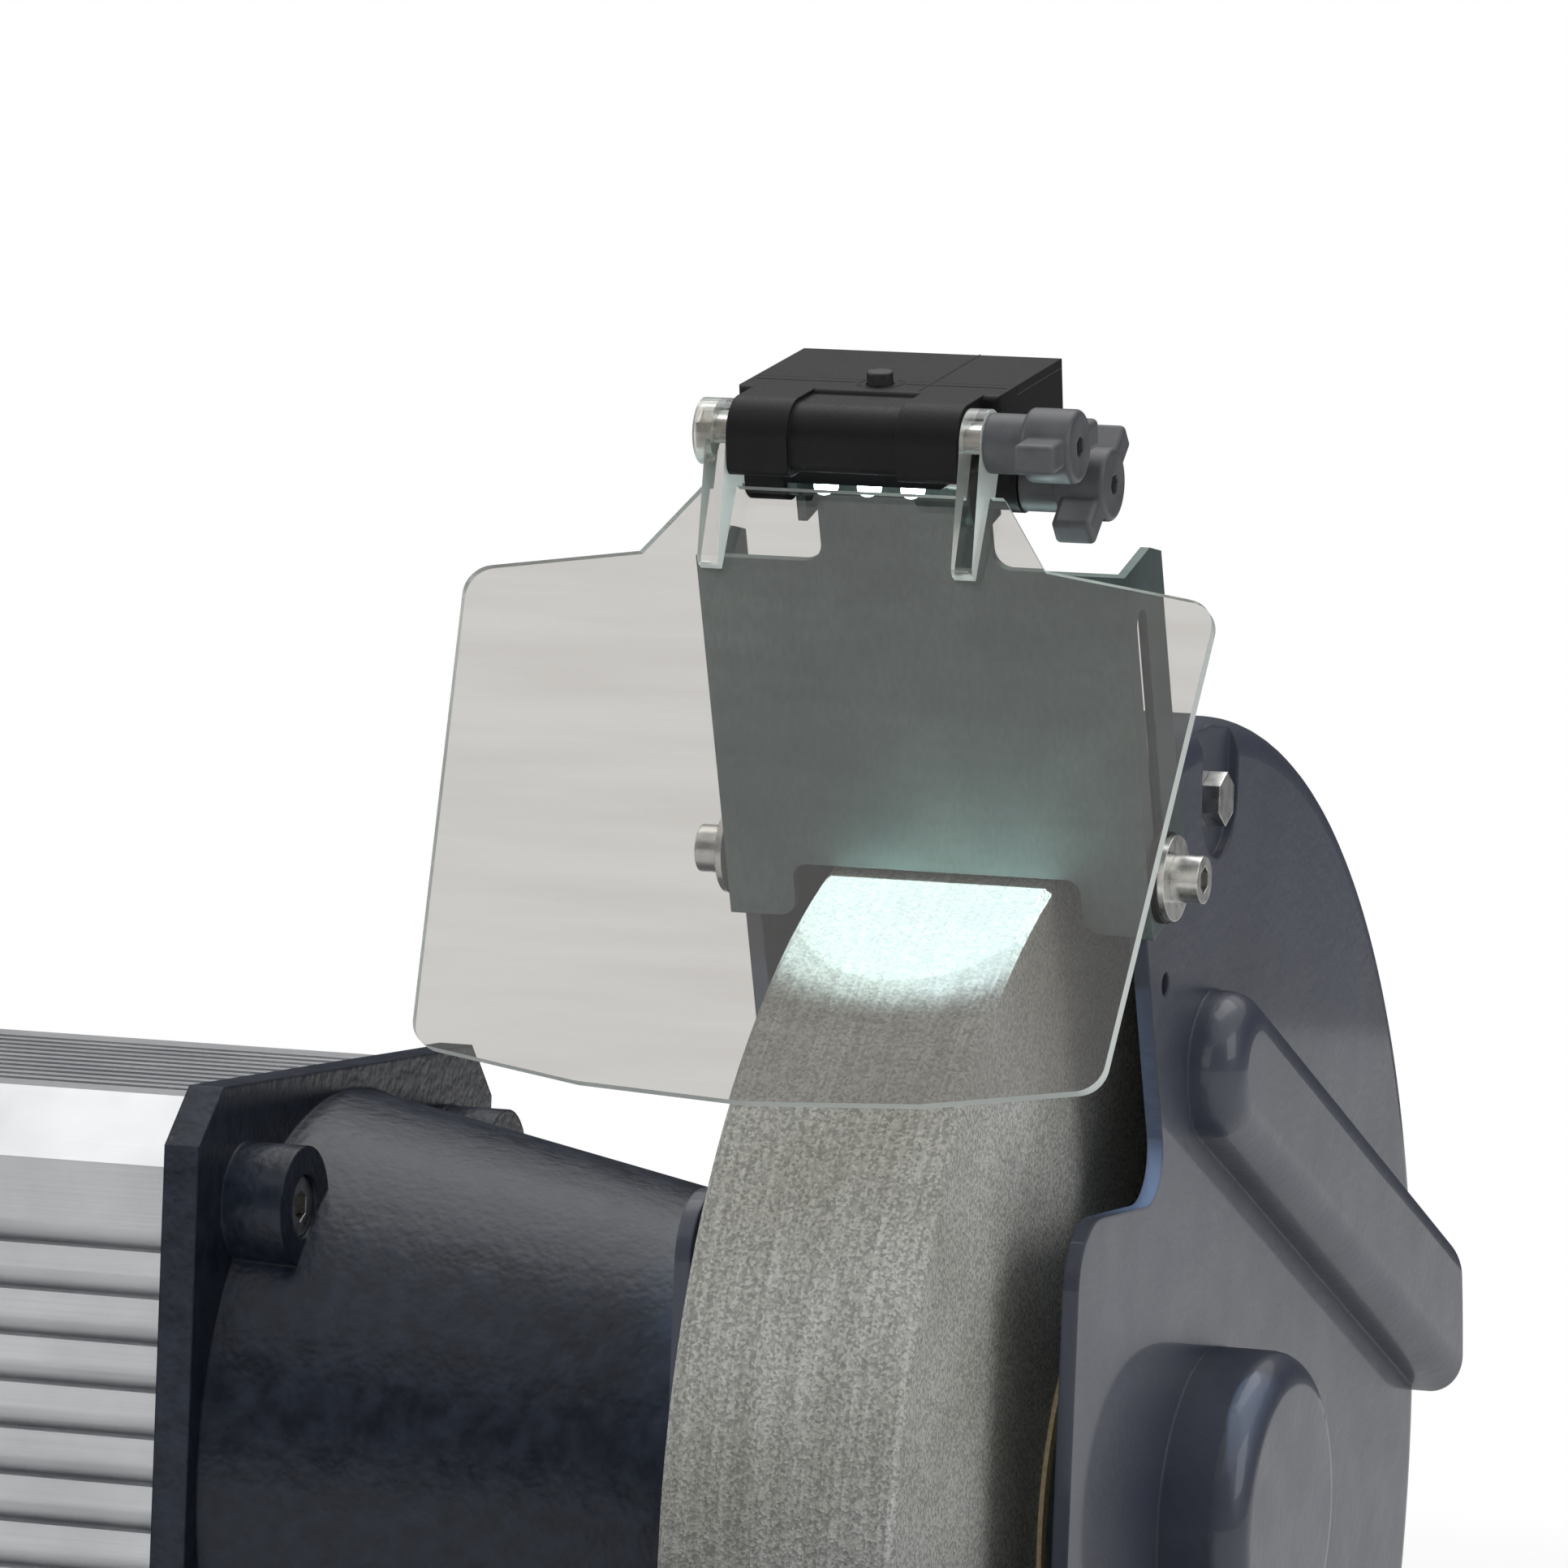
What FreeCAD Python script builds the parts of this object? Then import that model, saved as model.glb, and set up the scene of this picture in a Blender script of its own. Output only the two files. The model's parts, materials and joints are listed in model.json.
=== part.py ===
import FreeCAD, Part
import math
import os
import re
import Sketcher

# Double-ended bench grinder. Lengths in millimetres, angles in degrees.
# X runs along the spindle, Y to the rear, Z up. The origin is on the bench,
# in the middle of the base bolts. The right end is modelled, the left end mirrors it.

Vector = FreeCAD.Vector
Rotation = FreeCAD.Rotation

SIZES = [
    # Main places
    ("axis_height", 205, "spindle axis above the bench"),
    ("motor_half", 115, "machine centre to outer face of an end plate"),
    ("wheel_reach", 157, "outer face of the end plate to the middle of the wheel"),
    # Wheel and what clamps it
    ("wheel_radius", 150, "wheel radius"),
    ("wheel_width", 50, "wheel width"),
    ("wheel_bore", 32, "wheel bore, diameter"),
    ("wheel_bevel", 1.5, "bevel of the wheel rim"),
    ("blotter_radius", 58, "paper blotter radius"),
    ("blotter_thick", 1, "paper blotter thickness"),
    ("flange_radius", 55, "wheel flange radius"),
    ("inner_flange", 12, "inner flange thickness"),
    ("outer_flange", 10, "outer flange thickness"),
    ("nut_width", 46, "spindle nut across flats"),
    ("nut_height", 18, "spindle nut height"),
    ("thread_size", 30, "spindle thread diameter"),
    ("spindle_stub", 2, "spindle beyond the nut"),
    ("push_fit", 0.05, "radial clearance of pieces fitted by hand"),
    ("running_fit", 0.08, "radial clearance of a pin that turns in its hole"),
    ("slide_gap", 0.3, "gap beside a face that slides or turns"),
    # Spindle, bearings and motor
    ("core_size", 44, "spindle core diameter"),
    ("bearing_bore", 35, "bearing bore"),
    ("bearing_outside", 72, "bearing outside diameter"),
    ("bearing_width", 17, "bearing width"),
    ("ring_thick", 5, "radial thickness of a bearing ring"),
    ("ball_radius", 3.9, "bearing ball radius"),
    ("seal_thick", 6, "shaft seal width"),
    ("rotor_radius", 40, "rotor core radius"),
    ("rotor_length", 100, "rotor and stator core length"),
    ("air_gap", 0.6, "gap between rotor and stator"),
    ("stator_radius", 64, "stator core radius"),
    ("winding_length", 26, "end winding beyond the core"),
    ("winding_wall", 4, "clearance of the end winding inside the bore"),
    ("housing_half", 80, "half height and half depth of the motor housing"),
    ("housing_corner", 14, "corner cut of the motor housing"),
    ("fin_depth", 7, "depth of the slots between the fins"),
    ("fin_slot", 5, "width of the slots between the fins"),
    ("fin_pitch", 10, "fin spacing"),
    # End shields
    ("end_plate", 8, "end plate thickness"),
    ("end_half", 83, "half height and half depth of the end plate"),
    ("end_corner", 12, "corner cut of the end plate"),
    ("snout_root", 78, "snout radius at the end plate"),
    ("snout_tip", 55.6, "snout radius at the guard"),
    ("snout_wall", 7, "snout wall"),
    ("web", 8, "web behind the bearing"),
    ("web_hole", 30, "radius of the hole in the web"),
    ("boss_radius", 13, "screw boss radius"),
    ("boss_length", 14, "screw boss length beyond the end plate"),
    ("boss_place", 57.5, "screw boss from the axis, to the side and up or down"),
    ("tie_size", 8, "tie screw diameter"),
    ("tie_head", 13, "tie screw head diameter"),
    ("tie_depth", 9, "depth of the counterbore"),
    ("tie_key", 6, "key size of the tie screw"),
    ("tie_reach", 20, "tie screw length inside the motor housing"),
    # Guard
    ("guard_half", 44, "half width of the guard over its walls"),
    ("wall", 3.5, "guard wall"),
    ("guard_radius", 170.5, "guard radius"),
    ("guard_forward", 10, "guard centre in front of the spindle axis"),
    ("guard_round", 8, "rounding where the walls meet the band"),
    ("inner_round", 4.5, "the same rounding inside the wall"),
    ("cover_draft", 4.5, "slope of the rim inside the cover, for the mould"),
    ("cover_depth", 11, "depth of the cover over its rim"),
    ("edge_lean", 21.2, "lean of the upper edge of the mouth"),
    ("corner_front", 37.5, "inner corner of the mouth in front of the axis"),
    ("corner_up", 70, "inner corner of the mouth above the axis"),
    ("corner_round", 10, "rounding of that corner"),
    ("lug_front", 95, "front edge of the wall lug in front of the axis"),
    ("lug_round", 14, "rounding of the lug"),
    ("mouth_drop", 25, "lower edge of the mouth below the level of the axis"),
    ("dome_radius", 36, "radius of the dome over the spindle nut"),
    ("dome_space", 3, "room between spindle end and dome"),
    ("dome_round", 7, "rounding of the dome"),
    ("swell_height", 11, "height of the diagonal swelling"),
    ("swell_width", 32, "width of the diagonal swelling"),
    ("swell_round", 8, "rounding of the swelling"),
    ("swell_fall", 22, "fall of the swelling to the rear"),
    ("swell_front", 12, "nose of the swelling in front of the axis"),
    ("swell_up", 97, "nose of the swelling above the axis"),
    ("bolt_inset", 17, "cover bolts inside the guard radius"),
    ("bolt_first", -1, "first cover bolt behind the top"),
    ("bolt_step", 115, "angle between cover bolts"),
    ("bolt_size", 6, "cover bolt diameter"),
    ("bolt_flats", 10, "cover bolt across flats"),
    ("bolt_head", 4, "cover bolt head height"),
    ("lug_gap", 2, "gap between wheel side and bolt lugs"),
    ("lug_radius", 15.5, "bolt lug radius"),
    ("seat_thick", 8.5, "metal under a cover bolt head"),
    ("pocket_radius", 12.5, "radius of the scooped bolt pocket"),
    ("peep_hole", 5, "small hole in the cover, diameter"),
    ("peep_front", 45.3, "small hole in front of the axis"),
    ("peep_up", 116, "small hole above the axis"),
    ("mount_circle", 46, "radius of the guard mounting screws"),
    ("mount_size", 6, "guard mounting screw diameter"),
    ("mount_head", 11, "guard mounting screw head diameter"),
    ("mount_sink", 2.5, "depth of the head in the guard wall"),
    ("mount_reach", 12, "length of the screw in the snout"),
    # Spark plate
    ("plate_thick", 2, "spark plate sheet"),
    ("plate_gap", 2.5, "front of the spark plate before the guard edge"),
    ("spark_gap", 2.5, "notch of the spark plate above the wheel"),
    ("notch_depth", 12, "depth of the notch over the wheel"),
    ("notch_side", 6.5, "room between wheel side and notch"),
    ("notch_round", 3, "rounding of the notch"),
    ("plate_height", 80.5, "spark plate up to its shoulders"),
    ("plate_side", 24, "depth of the folded sides"),
    ("side_cut", 7, "corner cut of the folded sides"),
    ("side_round", 8, "rounding of the lower corner of the folded sides"),
    ("leg_round", 4, "rounding of the plate foot beside the notch"),
    ("shoulder_round", 4, "rounding between shoulder and tab"),
    ("tab_half", 18.5, "half width of the tab"),
    ("tab_height", 100, "top of the tab above the plate foot"),
    ("ear_start", 92, "foot of the ears above the plate foot"),
    ("ear_radius", 5.5, "ear radius"),
    ("pivot_forward", 6.3, "lamp pivot in front of the plate"),
    ("pivot_up", 103.5, "lamp pivot above the plate foot"),
    ("slot_width", 6.6, "adjusting slot width"),
    ("slot_back", 9.5, "adjusting slot behind the front of the plate"),
    ("slot_low", 5.5, "lower end of the slot centre line"),
    ("slot_high", 66, "upper end of the slot centre line"),
    ("screw_up", 10, "clamp screw above the plate foot"),
    ("screw_size", 6, "clamp screw diameter"),
    ("screw_head", 10, "clamp screw head diameter and nut across flats"),
    ("screw_tall", 6, "clamp screw head height"),
    ("screw_key", 5, "key size of the clamp screw"),
    ("screw_nut", 5, "clamp nut height"),
    ("washer_radius", 9, "washer radius"),
    ("washer_thick", 1.6, "washer thickness"),
    ("pad_radius", 9.6, "fibre washer radius"),
    ("pad_thick", 1.2, "fibre washer thickness"),
    # Lamp
    ("lamp_tilt", 11.6, "tilt of the lamp, rear up"),
    ("hinge_reach", 21, "shield hinge in front of the lamp pivot"),
    ("hinge_rise", 12.1, "shield hinge above the lamp pivot"),
    ("lamp_thick", 15.2, "lamp thickness"),
    ("lamp_half", 28, "half width of the lamp body"),
    ("nose_half", 24.5, "half width of the lamp nose"),
    ("nose_lug", 13, "width of a nose lug"),
    ("nose_step", 1, "step back of the nose between its lugs"),
    ("chin_round", 2.5, "rounding of the lower front edge of the nose"),
    ("body_front", 12, "front of the lamp body before the pivot"),
    ("body_rear", 29, "rear of the lamp body behind the pivot"),
    ("lamp_round", 1.5, "rounding of the lamp body"),
    ("lamp_wall", 2.5, "lamp wall"),
    ("lid_front", 1, "front of the lid before the pivot"),
    ("lid_thick", 2, "lid thickness"),
    ("knuckle_radius", 6.5, "knuckle radius at the pivot"),
    ("knuckle_end", 29.2, "outer end of the knuckles from the middle"),
    ("relief", 9, "room around the ears of the spark plate"),
    ("cell_floor", 1.5, "floor of the cell chamber above that room"),
    ("cell_radius", 10, "coin cell radius"),
    ("cell_thick", 3.2, "coin cell thickness"),
    ("nest_half", 18, "half width of the LED nest"),
    ("nest_front", 17, "front of the LED nest before the pivot"),
    ("nest_depth", 10, "depth of the LED nest"),
    ("nest_drop", 3.3, "LED nest below the lamp body"),
    ("led_radius", 2.5, "LED radius"),
    ("led_pitch", 9.3, "LED spacing"),
    ("led_front", 12.3, "LED row before the pivot"),
    ("led_drop", 1.2, "straight part of an LED below the nest"),
    ("button_radius", 2.7, "lamp button radius"),
    ("button_gap", 0.2, "gap around the lamp button"),
    ("button_front", 4.2, "lamp button before the pivot"),
    ("button_proud", 2.6, "lamp button above the lamp"),
    ("button_deep", 5.5, "lamp button inside the lamp"),
    ("button_room", 1.6, "room under the lamp button"),
    # Eye shield and knobs
    ("shield_tilt", 22.5, "tilt of the eye shield, foot forward"),
    ("shield_back", 5, "front face of the shield behind its hinge"),
    ("shield_thick", 3, "shield thickness"),
    ("shield_drop", 9.7, "top edge of the shield below its hinge"),
    ("crown_half", 32, "half width of the shield at its top edge"),
    ("neck_half", 43, "half width of the shield at the foot of its crown"),
    ("neck_drop", 15, "foot of the crown below the top edge"),
    ("brow_half", 80, "half width of the shield at its shoulders"),
    ("brow_drop", 20.5, "shoulders below the top edge"),
    ("foot_half", 72.3, "half width of the shield at its foot"),
    ("foot_drop", 122, "foot corners below the top edge"),
    ("foot_bow", 7.5, "bow of the foot edge"),
    ("shield_corner", 6, "corner rounding of the shield"),
    ("fin_half", 29.2, "outer face of the shield ears from the middle"),
    ("fin_length", 18, "shield ear below the top edge"),
    ("fin_round", 2.4, "rounding of the tip of that ear"),
    ("eye_radius", 6.8, "shield ear radius at the hinge"),
    ("eye_boss", 2.8, "boss on the ear away from the knob"),
    ("pin_size", 5, "hinge bolt diameter"),
    ("pin_head", 8, "hinge bolt head across flats"),
    ("pin_head_tall", 3.5, "hinge bolt head height"),
    ("head_well", 5.1, "radius of the well for the head in the shield ear"),
    ("pin_in_knob", 12, "hinge bolt inside a knob"),
    ("stem_radius", 6.1, "knob stem radius"),
    ("stem_length", 8, "knob stem length"),
    ("knob_radius", 7.5, "knob radius"),
    ("knob_length", 10.5, "knob length beyond the stem"),
    ("knob_socket", 4, "socket in the knob end, across flats"),
    ("socket_deep", 3, "depth of that socket"),
    ("wing_reach", 14.5, "wing tip from the knob axis"),
    ("wing_thick", 6, "wing thickness"),
    ("wing_length", 8.5, "wing length along the knob"),
    ("wing_round", 1.2, "rounding of the knob"),
    ("lamp_wing", 45, "rest angle of the lamp knob"),
    # Tool rest
    ("rest_gap", 3, "tool rest from the wheel"),
    ("rest_depth", 70, "depth of the tool rest"),
    ("rest_thick", 8, "thickness of the tool rest"),
    ("rest_below", 2, "top of the tool rest below the axis"),
    ("cheek_thick", 6, "cheek thickness"),
    ("cheek_height", 36, "cheek height"),
    ("cheek_rear", 60, "rear end of the cheeks in front of the axis"),
    ("cheek_front", 200, "front end of the cheeks in front of the axis"),
    ("rest_bolt_front", 81, "tool rest bolt in front of the axis"),
    ("rest_bolt_down", 26, "tool rest bolt below the axis"),
    ("rest_bolt", 10, "tool rest bolt diameter"),
    ("rest_bolt_flats", 16, "tool rest bolt across flats"),
    ("rest_bolt_head", 6.4, "tool rest bolt head height"),
    ("rest_boss", 6, "tapped boss for that bolt inside the guard wall"),
    ("rest_boss_radius", 12, "radius of that boss"),
    ("rest_slot_gap", 0.5, "radial room of that bolt in its slot"),
    ("rest_inward", 1.5, "adjustment towards the wheel"),
    ("rest_outward", 12, "adjustment away from the wheel"),
    ("rest_flange", 11, "radius of the flange under the bolt head"),
    ("rest_flange_thick", 2, "thickness of that flange"),
    # Base and its electrics
    ("base_length", 260, "base along the spindle"),
    ("base_depth", 270, "base from front to rear"),
    ("base_foot", 18, "thickness of the base foot"),
    ("base_corner", 28, "corner rounding of the base foot"),
    ("column_length", 180, "column along the spindle"),
    ("column_depth", 165, "column from front to rear"),
    ("column_corner", 22, "corner rounding of the column"),
    ("base_wall", 8, "base wall"),
    ("base_roof", 12, "top of the column"),
    ("bench_hole", 11, "bench bolt hole, diameter"),
    ("bench_x", 220, "bench bolt spacing along the spindle"),
    ("bench_y", 230, "bench bolt spacing from front to rear"),
    ("bottom_thick", 3, "bottom plate thickness"),
    ("bottom_lip", 6, "lip that carries the bottom plate"),
    ("bottom_screw", 4, "bottom plate screw diameter"),
    ("foot_bolt", 10, "motor foot bolt diameter"),
    ("foot_bolt_flats", 16, "motor foot bolt across flats"),
    ("foot_bolt_head", 6.4, "motor foot bolt head height"),
    ("foot_bolt_reach", 10, "motor foot bolt inside the motor housing"),
    ("foot_bolt_x", 120, "motor foot bolt spacing along the spindle"),
    ("foot_bolt_y", 90, "motor foot bolt spacing from front to rear"),
    ("switch_width", 58, "switch plate width"),
    ("switch_height", 84, "switch plate height"),
    ("switch_thick", 4, "switch plate thickness"),
    ("switch_up", 70, "middle of the switch plate above the bench"),
    ("switch_pitch", 38, "spacing of the two buttons"),
    ("stem_push", 10, "push button stem radius"),
    ("stop_radius", 16, "stop button cap radius"),
    ("push_gap", 0.3, "gap around a push button"),
    ("start_proud", 4, "start button beyond its plate"),
    ("stop_proud", 12, "stop button beyond its plate"),
    ("push_deep", 16, "push button stem behind the plate"),
    ("stop_cap", 7, "thickness of the stop button cap"),
    ("gland_radius", 9, "cable gland radius"),
    ("gland_hole", 4.5, "cable gland hole radius"),
    ("gland_proud", 18, "cable gland beyond the base"),
    ("gland_flats", 24, "cable gland nut across flats"),
    ("gland_nut", 7, "cable gland nut height"),
    ("gland_up", 50, "cable gland above the bench"),
    ("capacitor_radius", 20, "capacitor radius"),
    ("capacitor_length", 85, "capacitor length"),
]

doc = FreeCAD.newDocument("bench_grinder")
sheet = doc.addObject("Spreadsheet::Sheet", "sizes")
VALUES = {}
for row, (alias, amount, note) in enumerate(SIZES, start=1):
    sheet.set(f"A{row}", alias)
    sheet.set(f"B{row}", str(amount))
    sheet.set(f"C{row}", note)
    sheet.setAlias(f"B{row}", alias)
    VALUES[alias] = amount
doc.recompute()

ALONG_X = Rotation(Vector(0, 1, 0), 90)
ALONG_Y = Rotation(Vector(1, 0, 0), -90)
TOWARD_FRONT = Rotation(Vector(1, 0, 0), 90)
SIDE_VIEW = Rotation(Vector(1, 1, 1), 120)
UPRIGHT = Rotation()

NODES = []


# Helpers: every size is a formula in the names of the sheet

def formula(text):
    """Puts the sheet's name before each of its aliases."""
    names = re.compile(r"[A-Za-z_]\w*")
    return names.sub(lambda word: "sizes." + word.group() if word.group() in VALUES
                     else word.group(), text)


def fresh(kind, name):
    return doc.addObject(kind, name)


def place(piece, at, turn=UPRIGHT):
    piece.Placement = FreeCAD.Placement(Vector(0, 0, 0), turn)
    for axis, text in zip("xyz", at):
        piece.setExpression("Placement.Base." + axis, formula(text))
    return piece


def lean(piece, at, angle):
    place(piece, at, Rotation(Vector(1, 0, 0), 10))
    piece.setExpression("Placement.Rotation.Angle", formula(angle))
    return piece


def block(name, size, at):
    piece = fresh("Part::Box", name)
    for side, text in zip(("Length", "Width", "Height"), size):
        piece.setExpression(side, formula(text))
    return place(piece, at)


def span(name, x, y, z):
    """A block given by its two ends in each direction."""
    size = [f"({high}) - ({low})" for low, high in (x, y, z)]
    return block(name, size, (x[0], y[0], z[0]))


def rod(name, radius, length, at, turn=ALONG_X):
    piece = fresh("Part::Cylinder", name)
    piece.setExpression("Radius", formula(radius))
    piece.setExpression("Height", formula(length))
    return place(piece, at, turn)


def cone(name, start, end, length, at, turn=ALONG_X):
    piece = fresh("Part::Cone", name)
    piece.setExpression("Radius1", formula(start))
    piece.setExpression("Radius2", formula(end))
    piece.setExpression("Height", formula(length))
    return place(piece, at, turn)


def hexagon(name, flats, length, at, turn=ALONG_X):
    piece = fresh("Part::Prism", name)
    piece.Polygon = 6
    piece.setExpression("Circumradius", formula(f"({flats}) / 2 / cos(30)"))
    piece.setExpression("Height", formula(length))
    return place(piece, at, turn)


def drawn(name, points, turn, at):
    """A closed outline whose corners are held by formulas."""
    sketch = fresh("Sketcher::SketchObject", name)
    count = len(points)
    ring = [Vector(math.cos(2 * math.pi * i / count), math.sin(2 * math.pi * i / count), 0)
            for i in range(count)]
    for i in range(count):
        sketch.addGeometry(Part.LineSegment(ring[i], ring[(i + 1) % count]))
    for i in range(count):
        sketch.addConstraint(Sketcher.Constraint("Coincident", i, 2, (i + 1) % count, 1))
    for i, corner in enumerate(points):
        for kind, text, start in zip(("DistanceX", "DistanceY"), corner, ring[i]):
            held = sketch.addConstraint(Sketcher.Constraint(kind, -1, 1, i, 1, start))
            sketch.setExpression(f"Constraints[{held}]", formula(text))
    return place(sketch, at, turn)


def side_prism(name, points, start, length, height="0"):
    """An outline in Y and Z, drawn out along X."""
    sketch = drawn(name + "_outline", points, SIDE_VIEW, (start, "0", height))
    return stretched(name, sketch, Vector(1, 0, 0), length)


def stretched(name, sketch, way, length):
    piece = fresh("Part::Extrusion", name)
    piece.Base = sketch
    piece.DirMode = "Custom"
    piece.Dir = way
    piece.Solid = True
    piece.setExpression("LengthFwd", formula(length))
    return piece


def joined(name, pieces):
    piece = fresh("Part::MultiFuse", name)
    piece.Shapes = pieces
    piece.Refine = True
    return piece


def group(name, pieces):
    piece = fresh("Part::Compound", name)
    piece.Links = pieces
    return piece


def cut(name, base, tools):
    piece = fresh("Part::Cut", name)
    piece.Base = base
    piece.Tool = tools[0] if len(tools) == 1 else joined(name + "_tool", tools)
    piece.Refine = True
    return piece


def overlap(name, first, second):
    piece = fresh("Part::Common", name)
    piece.Base = first
    piece.Tool = second
    return piece


def mirrored(name, source):
    piece = fresh("Part::Mirroring", name)
    piece.Source = source
    piece.Normal = Vector(1, 0, 0)
    return piece


def rounded(name, base, radius, chosen):
    """Rounds the edges that the test picks."""
    doc.recompute()
    piece = fresh("Part::Fillet", name)
    piece.Base = base
    size = VALUES[radius]
    piece.Edges = [(i, size, size) for i, edge in enumerate(base.Shape.Edges, start=1) if chosen(edge)]
    return piece


def bevelled(name, base, size, chosen):
    doc.recompute()
    piece = fresh("Part::Chamfer", name)
    piece.Base = base
    cut_back = VALUES[size]
    piece.Edges = [(i, cut_back, cut_back) for i, edge in enumerate(base.Shape.Edges, start=1)
                   if chosen(edge)]
    return piece


def near(first, second):
    return abs(first - second) < 0.01


def straight(edge, axis):
    if not isinstance(edge.Curve, Part.Line):
        return False
    return near(abs(edge.Curve.Direction.dot(axis)), 1)


def circle(edge, radius):
    return isinstance(edge.Curve, Part.Circle) and near(edge.Curve.Radius, radius)


X_AXIS = Vector(1, 0, 0)
Y_AXIS = Vector(0, 1, 0)
Z_AXIS = Vector(0, 0, 1)


def node(name, piece):
    piece.Label = name
    NODES.append(piece)
    return piece


def pair(name, right):
    """The right-hand piece and its mirror image on the left."""
    node("right_" + name, right)
    return node("left_" + name, mirrored("left_" + name, right))


def both_ends(name, pieces):
    """One node with the pieces of both ends."""
    right = group(name + "_right", pieces)
    return node(name, group(name, [right, mirrored(name + "_left", right)]))


# Places along the right end of the spindle
WHEEL_X = "(motor_half + wheel_reach)"
WHEEL_IN = f"({WHEEL_X} - wheel_width / 2)"
WHEEL_OUT = f"({WHEEL_X} + wheel_width / 2)"
WALL_IN = f"({WHEEL_X} - guard_half)"
WALL_OUT = f"({WHEEL_X} + guard_half)"
SEAM = f"({WALL_OUT} - cover_depth)"
FLANGE_SHOULDER = f"({WHEEL_IN} - blotter_thick - inner_flange)"
NUT_START = f"({WHEEL_OUT} + blotter_thick + outer_flange)"
SPINDLE_END = f"({NUT_START} + nut_height + spindle_stub)"
BEARING_OUT = f"({WALL_IN} - seal_thick)"
BEARING_IN = f"({BEARING_OUT} - bearing_width)"
AXIS = "axis_height"


def on_axis(start):
    return (start, "0", AXIS)


# Grinding wheel and the pieces that clamp it

wheel_blank = rod("wheel_blank", "wheel_radius", "wheel_width", on_axis(WHEEL_IN))
wheel_bored = cut("wheel_bored", wheel_blank,
                  [rod("wheel_hole", "wheel_bore / 2 + push_fit", "wheel_width", on_axis(WHEEL_IN))])
wheel = bevelled("wheel", wheel_bored, "wheel_bevel", lambda edge: circle(edge, VALUES["wheel_radius"]))
pair("wheel", wheel)


def ring(name, outer, inner, length, start):
    body = rod(name + "_disc", outer, length, on_axis(start))
    return cut(name, body, [rod(name + "_hole", inner, length, on_axis(start))])


SEAT_HOLE = "wheel_bore / 2 + push_fit"
both_ends("wheel_blotters", [
    ring("blotter_inner", "blotter_radius", SEAT_HOLE, "blotter_thick", f"{WHEEL_IN} - blotter_thick"),
    ring("blotter_outer", "blotter_radius", SEAT_HOLE, "blotter_thick", WHEEL_OUT),
])
both_ends("inner_flanges",
          [ring("inner_flange_disc", "flange_radius", SEAT_HOLE, "inner_flange", FLANGE_SHOULDER)])
outer_face = cone("outer_flange_face", "flange_radius", "flange_radius - outer_flange / 2", "outer_flange",
                  on_axis(f"{WHEEL_OUT} + blotter_thick"))
both_ends("outer_flanges", [cut("outer_flange_disc", outer_face, [
    rod("outer_flange_hole", SEAT_HOLE, "outer_flange", on_axis(f"{WHEEL_OUT} + blotter_thick"))])])
nut_body = hexagon("nut_body", "nut_width", "nut_height", on_axis(NUT_START))
both_ends("spindle_nuts", [cut("spindle_nut", nut_body, [
    rod("nut_hole", "thread_size / 2 + push_fit", "nut_height", on_axis(NUT_START))])])

# Spindle: thread at both ends, wheel seats, bearing seats and a thick core


def shaft(name, diameter, end):
    return rod(name, f"({diameter}) / 2", f"2 * {end}", on_axis(f"-{end}"))


node("spindle", joined("spindle", [
    shaft("spindle_thread", "thread_size", SPINDLE_END),
    shaft("spindle_seats", "wheel_bore", NUT_START),
    shaft("spindle_bearings", "bearing_bore", FLANGE_SHOULDER),
    shaft("spindle_core", "core_size", BEARING_IN),
]))

# Motor: rotor core on the spindle, stator core and end windings in the housing

node("rotor_core", ring("rotor_core", "rotor_radius", "core_size / 2 + push_fit", "rotor_length",
                        "-rotor_length / 2"))
node("stator_core", ring("stator_core", "stator_radius", "rotor_radius + air_gap", "rotor_length",
                         "-rotor_length / 2"))
winding = ring("winding", "stator_radius - winding_wall", "rotor_radius + air_gap + winding_wall",
               "winding_length", "rotor_length / 2")
both_ends("stator_windings", [winding])

# Bearings, with their balls lying on the inner rings, and shaft seals

INNER_RING = "(bearing_bore / 2 + ring_thick)"
OUTER_RING = "(bearing_outside / 2 - ring_thick)"
both_ends("bearing_outer_rings",
          [ring("outer_ring", "bearing_outside / 2", OUTER_RING, "bearing_width", BEARING_IN)])
both_ends("bearing_inner_rings",
          [ring("inner_ring", INNER_RING, "bearing_bore / 2 + push_fit", "bearing_width", BEARING_IN)])
BALL_COUNT = 9
balls = []
for number in range(BALL_COUNT):
    ball = fresh("Part::Sphere", f"ball_{number}")
    ball.setExpression("Radius", formula("ball_radius"))
    turn = f"{number} * 360 / {BALL_COUNT}"
    orbit = f"({INNER_RING} + ball_radius + push_fit)"
    place(ball, (f"{BEARING_IN} + bearing_width / 2", f"{orbit} * sin({turn})",
                 f"{AXIS} + {orbit} * cos({turn})"))
    balls.append(ball)
both_ends("bearing_balls", balls)
both_ends("shaft_seals", [ring("shaft_seal", "bearing_outside / 2", "bearing_bore / 2 + slide_gap",
                               "seal_thick", BEARING_OUT)])

# Motor housing: eight-sided aluminium tube with fins along the spindle


def octagon(half, corner):
    inside = f"({half} - {corner})"
    return [(f"-{half}", f"-{inside}"), (f"-{inside}", f"-{half}"),
            (inside, f"-{half}"), (half, f"-{inside}"),
            (half, inside), (inside, half),
            (f"-{inside}", half), (f"-{half}", inside)]


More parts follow.
